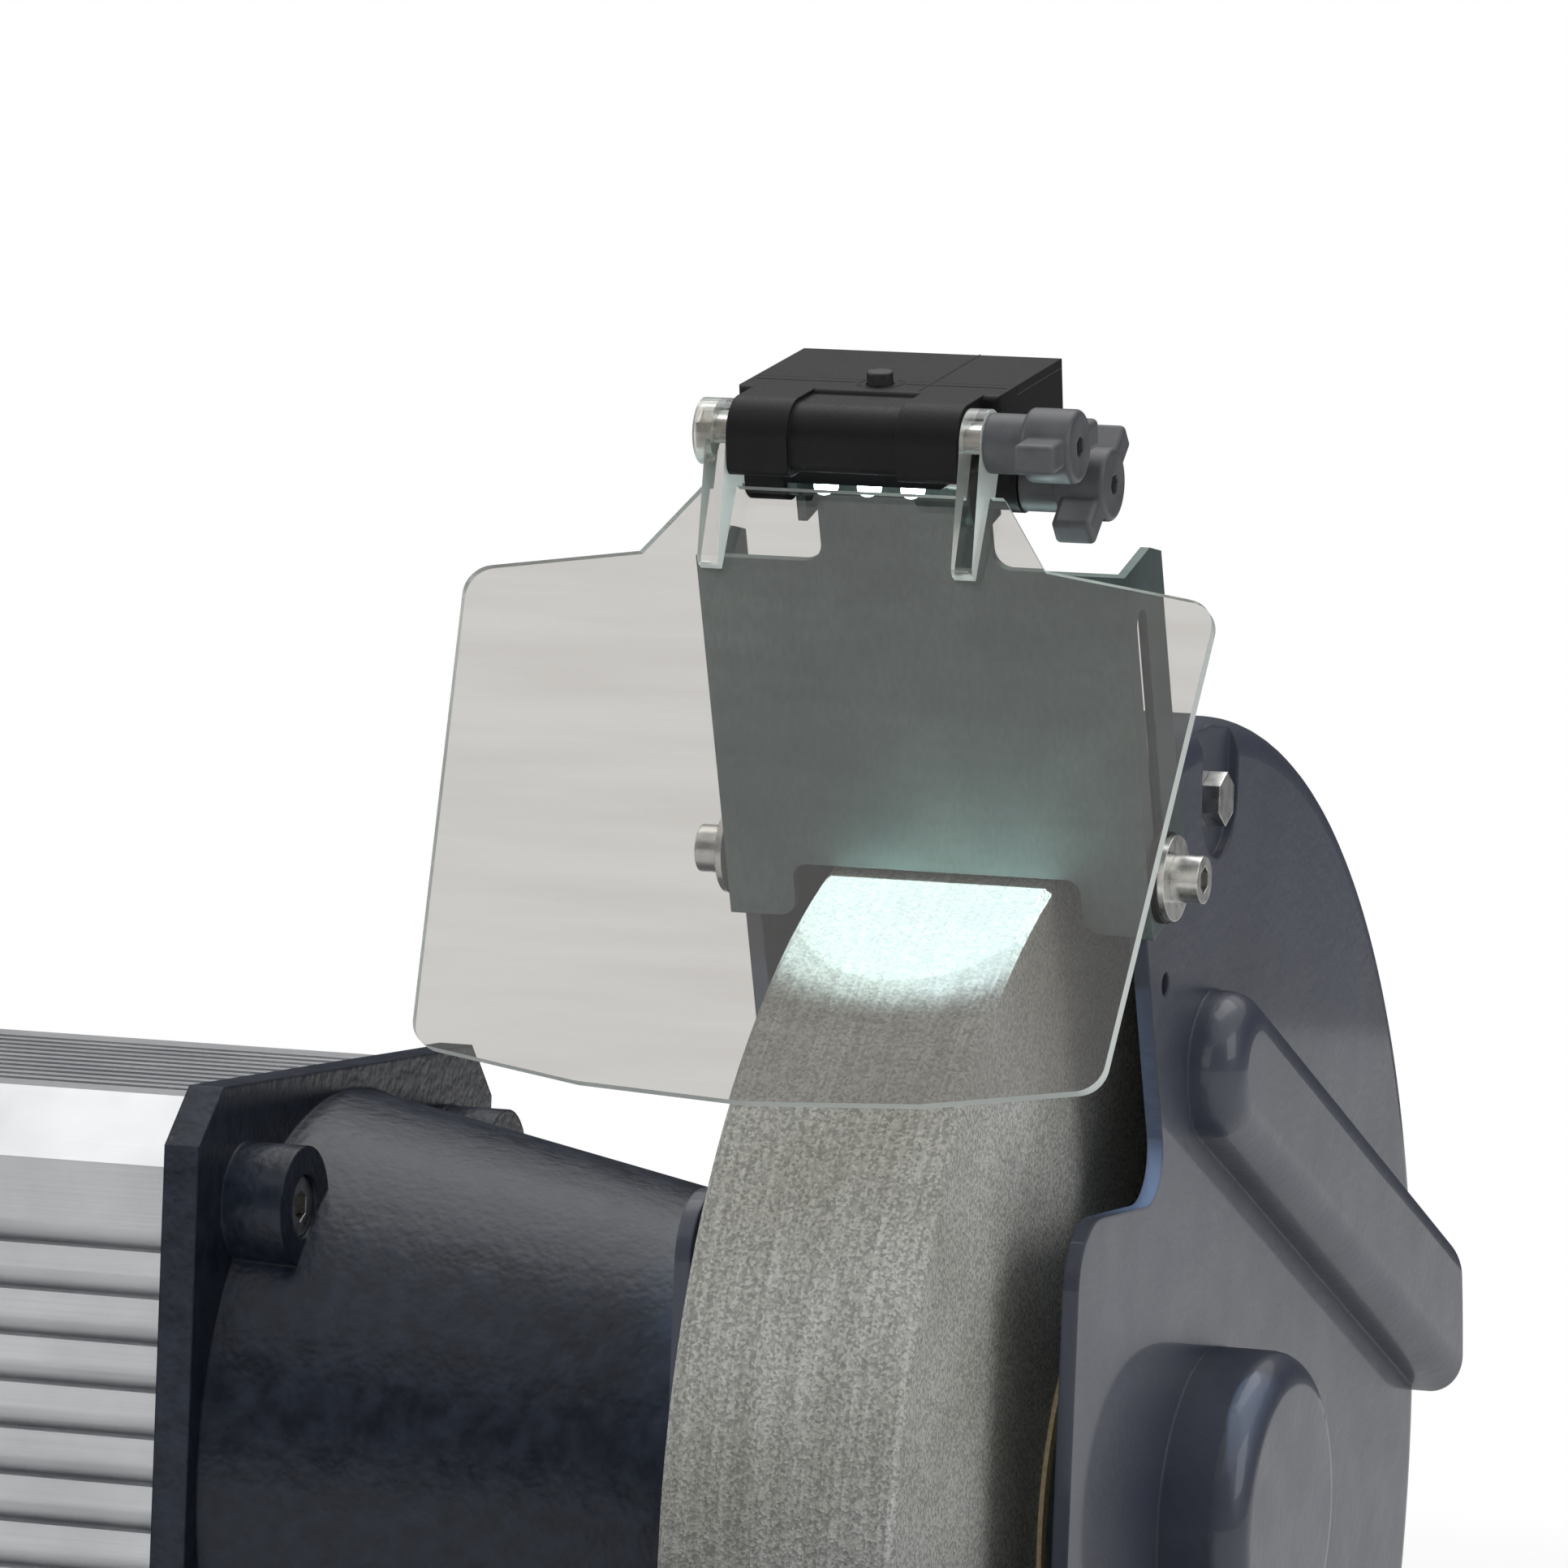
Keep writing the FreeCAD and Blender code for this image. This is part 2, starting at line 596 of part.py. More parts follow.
HOUSING_END = "(motor_half - end_plate)"
HOUSING_LENGTH = f"2 * {HOUSING_END}"
housing_block = side_prism("housing_block", octagon("housing_half", "housing_corner"),
                           f"-{HOUSING_END}", HOUSING_LENGTH, AXIS)
FIN_FLOOR = "(housing_half - fin_depth)"
FIN_ROWS = range(-5, 6)
slots = []
for number in FIN_ROWS:
    middle = f"({number} * fin_pitch)"
    sides = (f"{middle} - fin_slot / 2", f"{middle} + fin_slot / 2")
    upright = tuple(f"{AXIS} + {text}" for text in sides)
    whole = (f"-{HOUSING_END}", HOUSING_END)
    slots.append(span(f"top_slot_{number + 5}", whole, sides,
                      (f"{AXIS} + {FIN_FLOOR}", f"{AXIS} + housing_half")))
    slots.append(span(f"front_slot_{number + 5}", whole, ("-housing_half", f"-{FIN_FLOOR}"), upright))
    slots.append(span(f"rear_slot_{number + 5}", whole, (FIN_FLOOR, "housing_half"), upright))
bore = rod("housing_bore", "stator_radius", HOUSING_LENGTH, on_axis(f"-{HOUSING_END}"))

# The screws between end plates and housing, and the bolts up from the base

CORNERS = [(-1, -1), (1, -1), (1, 1), (-1, 1)]
BOSS_END = "(motor_half + boss_length)"
HEAD_FLOOR = f"({BOSS_END} - tie_depth)"
TIE_TIP = f"({HOUSING_END} - tie_reach)"
COLUMN_TOP = "(axis_height - housing_half)"
tie_screws = []
tie_holes = []
tie_sockets = []
bosses = []
for number, (side, level) in enumerate(CORNERS):
    aside = f"{side} * boss_place"
    up = f"{AXIS} + {level} * boss_place"
    shank = rod(f"tie_shank_{number}", "tie_size / 2", f"{HEAD_FLOOR} - {TIE_TIP}", (TIE_TIP, aside, up))
    head = rod(f"tie_head_{number}", "tie_head / 2", "tie_size", (HEAD_FLOOR, aside, up))
    key = hexagon(f"tie_key_{number}", "tie_key", "tie_size / 2",
                  (f"{HEAD_FLOOR} + tie_size / 2", aside, up))
    tie_screws.append(cut(f"tie_screw_{number}", joined(f"tie_solid_{number}", [shank, head]), [key]))
    tie_holes.append(rod(f"tie_hole_{number}", "tie_size / 2 + push_fit", f"{BOSS_END} - {TIE_TIP}",
                         (TIE_TIP, aside, up)))
    tie_sockets.append(rod(f"tie_socket_{number}", "tie_head / 2 + slide_gap", "tie_depth",
                           (HEAD_FLOOR, aside, up)))
    bosses.append(rod(f"boss_{number}", "boss_radius", "boss_length", ("motor_half", aside, up)))
both_ends("end_shield_screws", tie_screws)
tie_drill = group("tie_drill", tie_holes)
tie_drill_left = mirrored("tie_drill_left", tie_drill)

foot_bolts = []
foot_holes = []
for number, (side, level) in enumerate(CORNERS):
    spot = (f"{side} * foot_bolt_x / 2", f"{level} * foot_bolt_y / 2")
    shank = rod(f"foot_shank_{number}", "foot_bolt / 2", "base_roof + foot_bolt_reach",
                (*spot, f"{COLUMN_TOP} - base_roof"), UPRIGHT)
    head = hexagon(f"foot_head_{number}", "foot_bolt_flats", "foot_bolt_head",
                   (*spot, f"{COLUMN_TOP} - base_roof - foot_bolt_head"), UPRIGHT)
    foot_bolts.append(joined(f"foot_bolt_{number}", [shank, head]))
    foot_holes.append(rod(f"foot_hole_{number}", "foot_bolt / 2 + push_fit", "base_roof + foot_bolt_reach",
                          (*spot, f"{COLUMN_TOP} - base_roof"), UPRIGHT))
node("motor_foot_bolts", group("motor_foot_bolts", foot_bolts))
node("motor_housing", cut("motor_housing", housing_block,
                          [bore, tie_drill, tie_drill_left, *slots, *foot_holes]))

# End shields: plate, bosses and the long snout that carries the bearing

SNOUT_LENGTH = f"({WALL_IN} - motor_half)"
WEB_START = f"({BEARING_IN} - web)"
SNOUT_SLOPE = f"((snout_tip - snout_root) / {SNOUT_LENGTH})"
plate_block = side_prism("end_plate_block", octagon("end_half", "end_corner"),
                         HOUSING_END, "end_plate", AXIS)
snout = cone("snout", "snout_root", "snout_tip", SNOUT_LENGTH, on_axis("motor_half"))
shield_solid = joined("end_shield_solid", [plate_block, snout, *bosses])
hollow = cone("snout_hollow", "snout_root - snout_wall",
              f"snout_root - snout_wall + {SNOUT_SLOPE} * ({WEB_START} - {HOUSING_END})",
              f"{WEB_START} - {HOUSING_END}", on_axis(HOUSING_END))
hollow_inside = overlap("snout_hollow_inside", hollow,
                        rod("hollow_limit", "stator_radius", f"{WEB_START} - {HOUSING_END}",
                            on_axis(HOUSING_END)))
web_opening = rod("web_opening", "web_hole", "web", on_axis(WEB_START))
bearing_seat = rod("bearing_seat", "bearing_outside / 2", "bearing_width + seal_thick", on_axis(BEARING_IN))

# Countersunk screws through the guard wall into the end of the snout

MOUNT_COUNT = 6
mount_screws = []
mount_holes = []
mount_sinks = []
for number in range(MOUNT_COUNT):
    turn = f"({number} + 0.5) * 360 / {MOUNT_COUNT}"
    spot = (f"mount_circle * sin({turn})", f"{AXIS} + mount_circle * cos({turn})")
    inner_face = f"({WALL_IN} + wall)"
    shank = rod(f"mount_shank_{number}", "mount_size / 2", "mount_reach + wall - mount_sink",
                (f"{WALL_IN} - mount_reach", *spot))
    head = rod(f"mount_head_{number}", "mount_head / 2", "mount_sink",
               (f"{inner_face} - mount_sink", *spot))
    key = hexagon(f"mount_key_{number}", "mount_size / 2", "mount_sink",
                  (f"{inner_face} - mount_sink / 2", *spot))
    mount_screws.append(cut(f"mount_screw_{number}", joined(f"mount_solid_{number}", [shank, head]), [key]))
    mount_holes.append(rod(f"mount_hole_{number}", "mount_size / 2 + push_fit", "mount_reach + wall",
                           (f"{WALL_IN} - mount_reach", *spot)))
    mount_sinks.append(rod(f"mount_sunk_{number}", "mount_head / 2 + push_fit", "mount_sink",
                           (f"{inner_face} - mount_sink", *spot)))
both_ends("guard_mount_screws", mount_screws)
end_shield = cut("end_shield", shield_solid,
                 [hollow_inside, web_opening, bearing_seat, tie_drill, *tie_sockets, *mount_holes])
pair("end_shield", end_shield)

# The mouth of the guard, cut through both walls and the band.
# Its upper edge leans forward, its lower edge falls to the front, and a lug stands between them.

FAR = "(2 * guard_radius)"
mouth_outline = [
    (f"-corner_front - {FAR} * sin(edge_lean)", f"corner_up + {FAR} * cos(edge_lean)"),
    ("-corner_front", "corner_up"),
    ("-lug_front", "corner_up"),
    ("-lug_front", "-lug_front * tan(mouth_drop)"),
    (f"-{FAR}", f"-{FAR} * tan(mouth_drop)"),
    (f"-{FAR}", f"corner_up + {FAR} * cos(edge_lean)"),
]
GUARD_SPAN = "2 * guard_half"
mouth_block = side_prism("mouth_block", mouth_outline, WALL_IN, GUARD_SPAN, AXIS)


def mouth_edge(front, up):
    level = VALUES["axis_height"] + up
    return lambda edge: (straight(edge, X_AXIS) and near(edge.Vertexes[0].Y, -front)
                         and near(edge.Vertexes[0].Z, level))


mouth_corner = rounded("mouth_corner", mouth_block, "corner_round",
                       mouth_edge(VALUES["corner_front"], VALUES["corner_up"]))
mouth = rounded("mouth", mouth_corner, "lug_round", mouth_edge(VALUES["lug_front"], VALUES["corner_up"]))


def on_guard(start):
    return (start, "-guard_forward", AXIS)


# Holes for the spark plate's clamp screws. The plate lies along the upper edge of the mouth,
# its notch a little above the wheel.

PLATE_OFF = "(corner_up * sin(edge_lean) - corner_front * cos(edge_lean) - plate_gap)"
PLATE_RUN = f"(sqrt((wheel_radius + spark_gap)^2 - {PLATE_OFF}^2) - notch_depth)"
PLATE_Y = f"({PLATE_OFF} * cos(edge_lean) - {PLATE_RUN} * sin(edge_lean))"
PLATE_Z = f"({AXIS} + {PLATE_OFF} * sin(edge_lean) + {PLATE_RUN} * cos(edge_lean))"


def on_plate(back, up):
    """A point of the spark plate, by its distance behind the front and above the foot."""
    return (f"({PLATE_Y} + ({back}) * cos(edge_lean) - ({up}) * sin(edge_lean))",
            f"({PLATE_Z} + ({back}) * sin(edge_lean) + ({up}) * cos(edge_lean))")


CLAMP = on_plate("slot_back", "screw_up")
REST_BOLT = ("-rest_bolt_front", f"{AXIS} - rest_bolt_down")
BOSS_INSIDE = "(guard_half - wall - rest_boss)"
inner_boss = rod("inner_boss", "rest_boss_radius", "rest_boss", (f"{WALL_IN} + wall", *REST_BOLT))
outer_boss = rod("outer_boss", "rest_boss_radius", "rest_boss", (f"{WHEEL_X} + {BOSS_INSIDE}", *REST_BOLT))
clamp_hole = rod("clamp_hole", "screw_size / 2 + push_fit", GUARD_SPAN, (WALL_IN, *CLAMP))
rest_hole = rod("rest_hole", "rest_bolt / 2 + push_fit", GUARD_SPAN, (WALL_IN, *REST_BOLT))

# Cover bolts around the rim, with lugs on the band and pockets in the cover

BOLT_COUNT = 3
BOLT_CIRCLE = "(guard_radius - bolt_inset)"
POCKET_FLOOR = f"({SEAM} + seat_thick)"
LUG_START = f"({WHEEL_OUT} + lug_gap)"
BOLT_LENGTH = f"({POCKET_FLOOR} - {LUG_START})"
cover_bolts = []
bolt_holes = []
lugs = []
seats = []
pockets = []
for number in range(BOLT_COUNT):
    turn = f"(bolt_first + {number} * bolt_step)"
    spot = (f"{BOLT_CIRCLE} * sin({turn}) - guard_forward", f"{AXIS} + {BOLT_CIRCLE} * cos({turn})")
    shank = rod(f"bolt_shank_{number}", "bolt_size / 2", BOLT_LENGTH, (LUG_START, *spot))
    head = hexagon(f"bolt_head_{number}", "bolt_flats", "bolt_head", (POCKET_FLOOR, *spot))
    cover_bolts.append(joined(f"cover_bolt_{number}", [shank, head]))
    bolt_holes.append(rod(f"bolt_hole_{number}", "bolt_size / 2 + push_fit", BOLT_LENGTH,
                          (LUG_START, *spot)))
    lugs.append(rod(f"lug_{number}", "lug_radius", f"{SEAM} - {LUG_START}", (LUG_START, *spot)))
    seats.append(rod(f"seat_{number}", "lug_radius", "cover_depth - wall / 2", (SEAM, *spot)))
    pocket_round = rod(f"pocket_round_{number}", "pocket_radius", "cover_depth", (POCKET_FLOOR, *spot))
    pocket_way = block(f"pocket_way_{number}", ("cover_depth", "2 * pocket_radius", "guard_radius"),
                       ("0", "-pocket_radius", "0"))
    pocket_scoop = group(f"pocket_scoop_{number}", [pocket_way])
    lean(pocket_scoop, (POCKET_FLOOR, *spot), f"-{turn}")
    pockets += [pocket_round, pocket_scoop]
both_ends("guard_cover_bolts", cover_bolts)

# Guard body: inner wall and band, with the bolt lugs inside

WHEEL_PLACE = VALUES["motor_half"] + VALUES["wheel_reach"]
SEAM_PLACE = WHEEL_PLACE + VALUES["guard_half"] - VALUES["cover_depth"]
GUARD_OUTSIDE = VALUES["guard_radius"]
GUARD_INSIDE = GUARD_OUTSIDE - VALUES["wall"]


def inward(edge, radius):
    return circle(edge, radius) and edge.BoundBox.XMax < WHEEL_PLACE


def outward(edge, radius):
    return circle(edge, radius) and edge.BoundBox.XMin > SEAM_PLACE + VALUES["slide_gap"]


BODY_LENGTH = f"({SEAM} - {WALL_IN})"
body_drum = rod("guard_drum", "guard_radius", BODY_LENGTH, on_guard(WALL_IN))
body_round = rounded("guard_drum_round", body_drum, "guard_round", lambda edge: inward(edge, GUARD_OUTSIDE))
body_space = rod("guard_space", "guard_radius - wall", f"{BODY_LENGTH} - wall",
                 on_guard(f"{WALL_IN} + wall"))
space_round = rounded("guard_space_round", body_space, "inner_round", lambda edge: inward(edge, GUARD_INSIDE))
body_shell = cut("guard_shell", body_round, [space_round])
body_lugs = joined("guard_with_lugs", [body_shell, inner_boss, *lugs])
spindle_way = rod("spindle_way", "bearing_outside / 2", "wall", on_axis(WALL_IN))
guard_body = cut("guard_body", body_lugs,
                 [mouth, spindle_way, clamp_hole, rest_hole, *bolt_holes, *mount_holes, *mount_sinks])
pair("guard_body", guard_body)

# Guard cover: dished wall with dome, diagonal swelling, bolt seats and pockets

cover_drum = rod("cover_drum", "guard_radius", "cover_depth", on_guard(SEAM))
cover_round = rounded("cover_drum_round", cover_drum, "guard_round",
                      lambda edge: outward(edge, GUARD_OUTSIDE))
cover_space = cone("cover_space", "guard_radius - wall", "guard_radius - wall - cover_draft",
                   "cover_depth - wall", on_guard(SEAM))
cover_shell = cut("cover_shell", cover_round, [cover_space])
DOME_END = f"({SPINDLE_END} + dome_space + wall)"
dome_drum = rod("dome_drum", "dome_radius", f"{DOME_END} - {WALL_OUT} + wall",
                on_axis(f"{WALL_OUT} - wall"))
dome = rounded("dome", dome_drum, "dome_round", lambda edge: circle(edge, VALUES["dome_radius"])
               and edge.BoundBox.XMax > WHEEL_PLACE + VALUES["guard_half"])
dome_space = rod("dome_space", "dome_radius - wall", f"{DOME_END} - {WALL_OUT}",
                 on_axis(f"{WALL_OUT} - wall"))

swell_bar = joined("swell_bar", [
    span("swell_run", ("-wall", "swell_height"), ("0", "2 * guard_radius"),
         ("-swell_width / 2", "swell_width / 2")),
    rod("swell_nose", "swell_width / 2", "swell_height + wall", ("-wall", "0", "0")),
])
swell_soft = rounded("swell_soft", swell_bar, "swell_round",
                     lambda edge: near(edge.BoundBox.XMin, VALUES["swell_height"]))
swell_laid = group("swell_laid", [swell_soft])
lean(swell_laid, (WALL_OUT, "-swell_front", f"{AXIS} + swell_up"), "-swell_fall")
swell = overlap("swell", swell_laid,
                rod("swell_limit", "guard_radius - wall", "2 * guard_half", on_guard(WHEEL_X)))

cover_solid = joined("cover_solid", [cover_shell, dome, swell, outer_boss, *seats])
cover_kept = overlap("cover_kept", cover_solid,
                     rod("cover_limit", "guard_radius", "2 * guard_half", on_guard(WHEEL_X)))
peep = rod("peep", "peep_hole / 2", "wall", (f"{WALL_OUT} - wall", "-peep_front", f"{AXIS} + peep_up"))
guard_cover = cut("guard_cover", cover_kept,
                  [mouth, dome_space, peep, clamp_hole, rest_hole, *bolt_holes, *pockets])
pair("guard_cover", guard_cover)

# Spark plate: folded steel channel in its own upright frame, then laid along the mouth's edge

INNER_HALF = "(guard_half + slide_gap)"
PLATE_HALF = f"({INNER_HALF} + plate_thick)"
PLATE_WIDTH = (f"-{PLATE_HALF}", PLATE_HALF)
plate_sheet = span("plate_sheet", PLATE_WIDTH, ("0", "plate_thick"), ("0", "plate_height"))
NOTCH_HALF = "(wheel_width / 2 + notch_side)"
notch_block = span("notch_block", (f"-{NOTCH_HALF}", NOTCH_HALF), ("0", "plate_thick"),
                   ("-notch_depth", "notch_depth"))
notch = rounded("notch", notch_block, "notch_round",
                lambda edge: straight(edge, Y_AXIS) and edge.BoundBox.ZMin > 0)
tab = span("tab", ("-tab_half", "tab_half"), ("0", "plate_thick"), ("0", "tab_height"))
SHOULDER = VALUES["plate_height"]
LEG_INSIDE = VALUES["wheel_width"] / 2 + VALUES["notch_side"]


def sheet_corner(half, level):
    """Picks the edges through the sheet at that distance from the middle and that height."""
    return lambda edge: (straight(edge, Y_AXIS) and near(abs(edge.Vertexes[0].X), half)
                         and near(edge.Vertexes[0].Z, level))


plate_front = rounded("plate_front", joined("plate_with_tab", [plate_sheet, tab]), "shoulder_round",
                      sheet_corner(VALUES["tab_half"], SHOULDER))
EAR_OUT = "(tab_half + plate_thick)"
tab_head = span("tab_head", (f"-{EAR_OUT}", EAR_OUT), ("0", "plate_thick"), ("ear_start", "tab_height"))


def ear(name, start):
    eye = rod(name + "_eye", "ear_radius", "plate_thick", (start, "-pivot_forward", "pivot_up"))
    arm = block(name + "_arm", ("plate_thick", "pivot_forward + plate_thick", "pivot_up - ear_start"),
                (start, "-pivot_forward", "ear_start"))
    return [eye, arm]


def folded_side(name, start):
    outline = [("0", "0"), ("plate_side", "0"), ("plate_side", "plate_height - side_cut / 2"),
               ("plate_side - side_cut", "plate_height"), ("0", "plate_height")]
    flange = side_prism(name + "_flat", outline, start, "plate_thick")
    return rounded(name, flange, "side_round",
                   lambda edge: straight(edge, X_AXIS) and near(edge.Vertexes[0].Z, 0)
                   and near(edge.Vertexes[0].Y, VALUES["plate_side"]))


plate_solid = joined("spark_plate_solid", [
    plate_front, tab_head,
    folded_side("plate_side_right", INNER_HALF), folded_side("plate_side_left", f"-{PLATE_HALF}"),
    *ear("ear_right", "tab_half"), *ear("ear_left", f"-{EAR_OUT}"),
])
slot_ends = [rod(f"slot_end_{number}", "slot_width / 2", f"2 * {PLATE_HALF}",
                 (f"-{PLATE_HALF}", "slot_back", up))
             for number, up in enumerate(("slot_low", "slot_high"))]
slot_run = span("slot_run", PLATE_WIDTH, ("slot_back - slot_width / 2", "slot_back + slot_width / 2"),
                ("slot_low", "slot_high"))
pivot_hole = rod("pivot_hole", "pin_size / 2 + running_fit", f"2 * {PLATE_HALF}",
                 (f"-{PLATE_HALF}", "-pivot_forward", "pivot_up"))
plate_cut = cut("plate_cut", plate_solid, [notch, *slot_ends, slot_run, pivot_hole])
spark_plate = rounded("spark_plate", plate_cut, "leg_round", sheet_corner(LEG_INSIDE, 0))
lean(spark_plate, (WHEEL_X, PLATE_Y, PLATE_Z), "edge_lean")
pair("spark_plate", spark_plate)

# Clamp screws of the spark plate: socket screw, washer, fibre washer and nut on each wall

PAD_FACE = f"({PLATE_HALF} + push_fit)"
WASHER_FACE = f"({PAD_FACE} + pad_thick)"
HEAD_FACE = f"({WASHER_FACE} + washer_thick)"
NUT_FACE = "(guard_half - wall - screw_nut)"


def clamp_pieces():
    shank = rod("clamp_shank", "screw_size / 2", f"{HEAD_FACE} - {NUT_FACE}", (NUT_FACE, "0", "0"))
    head = rod("clamp_head", "screw_head / 2", "screw_tall", (HEAD_FACE, "0", "0"))
    key = hexagon("clamp_key", "screw_key", "screw_tall / 2", (f"{HEAD_FACE} + screw_tall / 2", "0", "0"))
    screw = cut("clamp_screw", joined("clamp_solid", [shank, head]), [key])
    hole = "screw_size / 2 + push_fit"
    washer = cut("clamp_washer",
                 rod("clamp_washer_disc", "washer_radius", "washer_thick", (WASHER_FACE, "0", "0")),
                 [rod("clamp_washer_hole", hole, "washer_thick", (WASHER_FACE, "0", "0"))])
    pad = cut("clamp_pad", rod("clamp_pad_disc", "pad_radius", "pad_thick", (PAD_FACE, "0", "0")),
              [rod("clamp_pad_hole", hole, "pad_thick", (PAD_FACE, "0", "0"))])
    nut = cut("clamp_nut", hexagon("clamp_nut_body", "screw_head", "screw_nut", (NUT_FACE, "0", "0")),
              [rod("clamp_nut_hole", hole, "screw_nut", (NUT_FACE, "0", "0"))])
    return screw, washer, pad, nut


def at_both_walls(name, piece, spot):
    """A piece made for the outer wall about the wheel's middle, and its twin on the inner wall."""
    twins = group(name + "_twins", [piece, mirrored(name + "_twin", piece)])
    return place(twins, (WHEEL_X, *spot))


screw, washer, pad, nut = clamp_pieces()
both_ends("spark_plate_screws", [at_both_walls("clamp_screw", screw, CLAMP)])
both_ends("spark_plate_washers", [at_both_walls("clamp_washer", washer, CLAMP)])
both_ends("spark_plate_pads", [at_both_walls("clamp_pad", pad, CLAMP)])
both_ends("spark_plate_nuts", [at_both_walls("clamp_nut", nut, CLAMP)])

# Lamp, in its own level frame about the pivot, then tilted.
# The shield hinge runs through the nose, the pivot through two knuckles below.

PIVOT = on_plate("-pivot_forward", "pivot_up")
HINGE_Y = f"({PIVOT[0]} - hinge_reach * cos(lamp_tilt) - hinge_rise * sin(lamp_tilt))"
HINGE_Z = f"({PIVOT[1]} - hinge_reach * sin(lamp_tilt) + hinge_rise * cos(lamp_tilt))"
NOSE = "(lamp_thick / 2)"
LAMP_BOTTOM = f"(hinge_rise - {NOSE})"
LAMP_TOP = f"(hinge_rise + {NOSE})"
AT_HINGE = ("-hinge_reach", "hinge_rise")
NOSE_DEPTH = ("-hinge_reach", "-body_front + lamp_wall")
BOTTOM_PLACE = VALUES["hinge_rise"] - VALUES["lamp_thick"] / 2
TOP_PLACE = VALUES["hinge_rise"] + VALUES["lamp_thick"] / 2


def across(name, radius, start, end, spot):
    return rod(name, radius, f"({end}) - ({start})", (start, *spot))


def tilted(piece):
    return lean(piece, (WHEEL_X, *PIVOT), "lamp_tilt")


nose_pieces = [
    across("nose_left", NOSE, "-nose_half", "-nose_half + nose_lug", AT_HINGE),
    across("nose_right", NOSE, "nose_half - nose_lug", "nose_half", AT_HINGE),
    across("nose_middle", f"{NOSE} - nose_step", "-nose_half", "nose_half", AT_HINGE),
    span("nose_root", ("-nose_half", "nose_half"), NOSE_DEPTH,
         (f"{LAMP_BOTTOM} + nose_step", f"{LAMP_TOP} - nose_step")),
    span("nose_root_left", ("-nose_half", "-nose_half + nose_lug"), NOSE_DEPTH, (LAMP_BOTTOM, LAMP_TOP)),
    span("nose_root_right", ("nose_half - nose_lug", "nose_half"), NOSE_DEPTH, (LAMP_BOTTOM, LAMP_TOP)),
]
CHIN_PLACE = -VALUES["hinge_reach"] - VALUES["lamp_thick"] / 2


def chin(name, width, step):
    """Squares the lower front of the nose, set back by a step."""
    chin_block = span(name + "_block", width, (f"-hinge_reach - {NOSE} + {step}", "-hinge_reach"),
                      (f"{LAMP_BOTTOM} + {step}", "hinge_rise"))
    front = CHIN_PLACE + VALUES.get(step, 0)
    return rounded(name, chin_block, "chin_round",
                   lambda edge: straight(edge, X_AXIS) and near(edge.Vertexes[0].Y, front)
                   and edge.Vertexes[0].Z < VALUES["hinge_rise"])


nose_pieces += [
    chin("chin_left", ("-nose_half", "-nose_half + nose_lug"), "0"),
    chin("chin_right", ("nose_half - nose_lug", "nose_half"), "0"),
    chin("chin_middle", ("-nose_half", "nose_half"), "nose_step"),
]
lamp_block = span("lamp_block", ("-lamp_half", "lamp_half"), ("-body_front", "body_rear"),
                  (LAMP_BOTTOM, LAMP_TOP))
lamp_soft = rounded("lamp_soft", lamp_block, "lamp_round",
                    lambda edge: straight(edge, Z_AXIS)
                    or (straight(edge, X_AXIS) and edge.BoundBox.YMax < 0))
LID_FLOOR = f"({LAMP_TOP} - lid_thick)"
nest_block = span("nest_block", ("-nest_half", "nest_half"), ("-nest_front", "-nest_front + nest_depth"),
                  (f"{LAMP_BOTTOM} - nest_drop", f"{LAMP_BOTTOM} + lamp_wall"))
nest = rounded("nest", nest_block, "lamp_round",
               lambda edge: straight(edge, Y_AXIS) and edge.BoundBox.ZMax < BOTTOM_PLACE)
KNUCKLE_IN = "(tab_half + plate_thick + slide_gap)"
knuckles = []
KNUCKLE_ROOT = (f"lamp_half - {KNUCKLE_IN}", "2 * knuckle_radius", f"{LAMP_BOTTOM} + lamp_wall")
for name, start, root in (("right", KNUCKLE_IN, KNUCKLE_IN), ("left", "-knuckle_end", "-lamp_half")):
    knuckles.append(rod(f"knuckle_{name}", "knuckle_radius", f"knuckle_end - {KNUCKLE_IN}",
                        (start, "0", "0")))
    knuckles.append(block(f"knuckle_root_{name}", KNUCKLE_ROOT, (root, "-knuckle_radius", "0")))
lamp_solid = joined("lamp_solid", [lamp_soft, *nose_pieces, nest, *knuckles])
ear_room = across("ear_room", "relief", f"-{KNUCKLE_IN}", KNUCKLE_IN, ("0", "0"))
CELL_FLOOR = "(relief + cell_floor)"
chamber = span("chamber", ("-lamp_half + lamp_wall", "lamp_half - lamp_wall"),
               ("lamp_wall", "body_rear - lamp_wall"), (CELL_FLOOR, LAMP_TOP))
lid_seat = span("lid_seat", ("-lamp_half", "lamp_half"), ("-lid_front", "body_rear"), (LID_FLOOR, LAMP_TOP))
hinge_bore = across("hinge_bore", "pin_size / 2 + push_fit", "-lamp_half", "lamp_half", AT_HINGE)
pivot_bore = across("pivot_bore", "pin_size / 2 + push_fit", "-knuckle_end", "knuckle_end", ("0", "0"))
BUTTON_FLOOR = f"({LAMP_TOP} - button_deep - button_room)"
button_well = rod("button_well", "button_radius + button_gap", "button_deep + button_room",
                  ("0", "-button_front", BUTTON_FLOOR), UPRIGHT)
NEST_FACE = f"({LAMP_BOTTOM} - nest_drop)"
LED_ROW = (-1, 0, 1)
led_wells = [rod(f"led_well_{number + 1}", "led_radius + push_fit", "nest_drop",
                 (f"{number} * led_pitch", "-led_front", NEST_FACE), UPRIGHT) for number in LED_ROW]
lamp_housing = cut("lamp_housing", lamp_solid,
                   [ear_room, chamber, lid_seat, hinge_bore, pivot_bore, button_well, *led_wells])
pair("lamp_housing", tilted(lamp_housing))

lid_block = span("lid_block", ("-lamp_half", "lamp_half"), ("-lid_front + push_fit", "body_rear"),
                 (LID_FLOOR, LAMP_TOP))


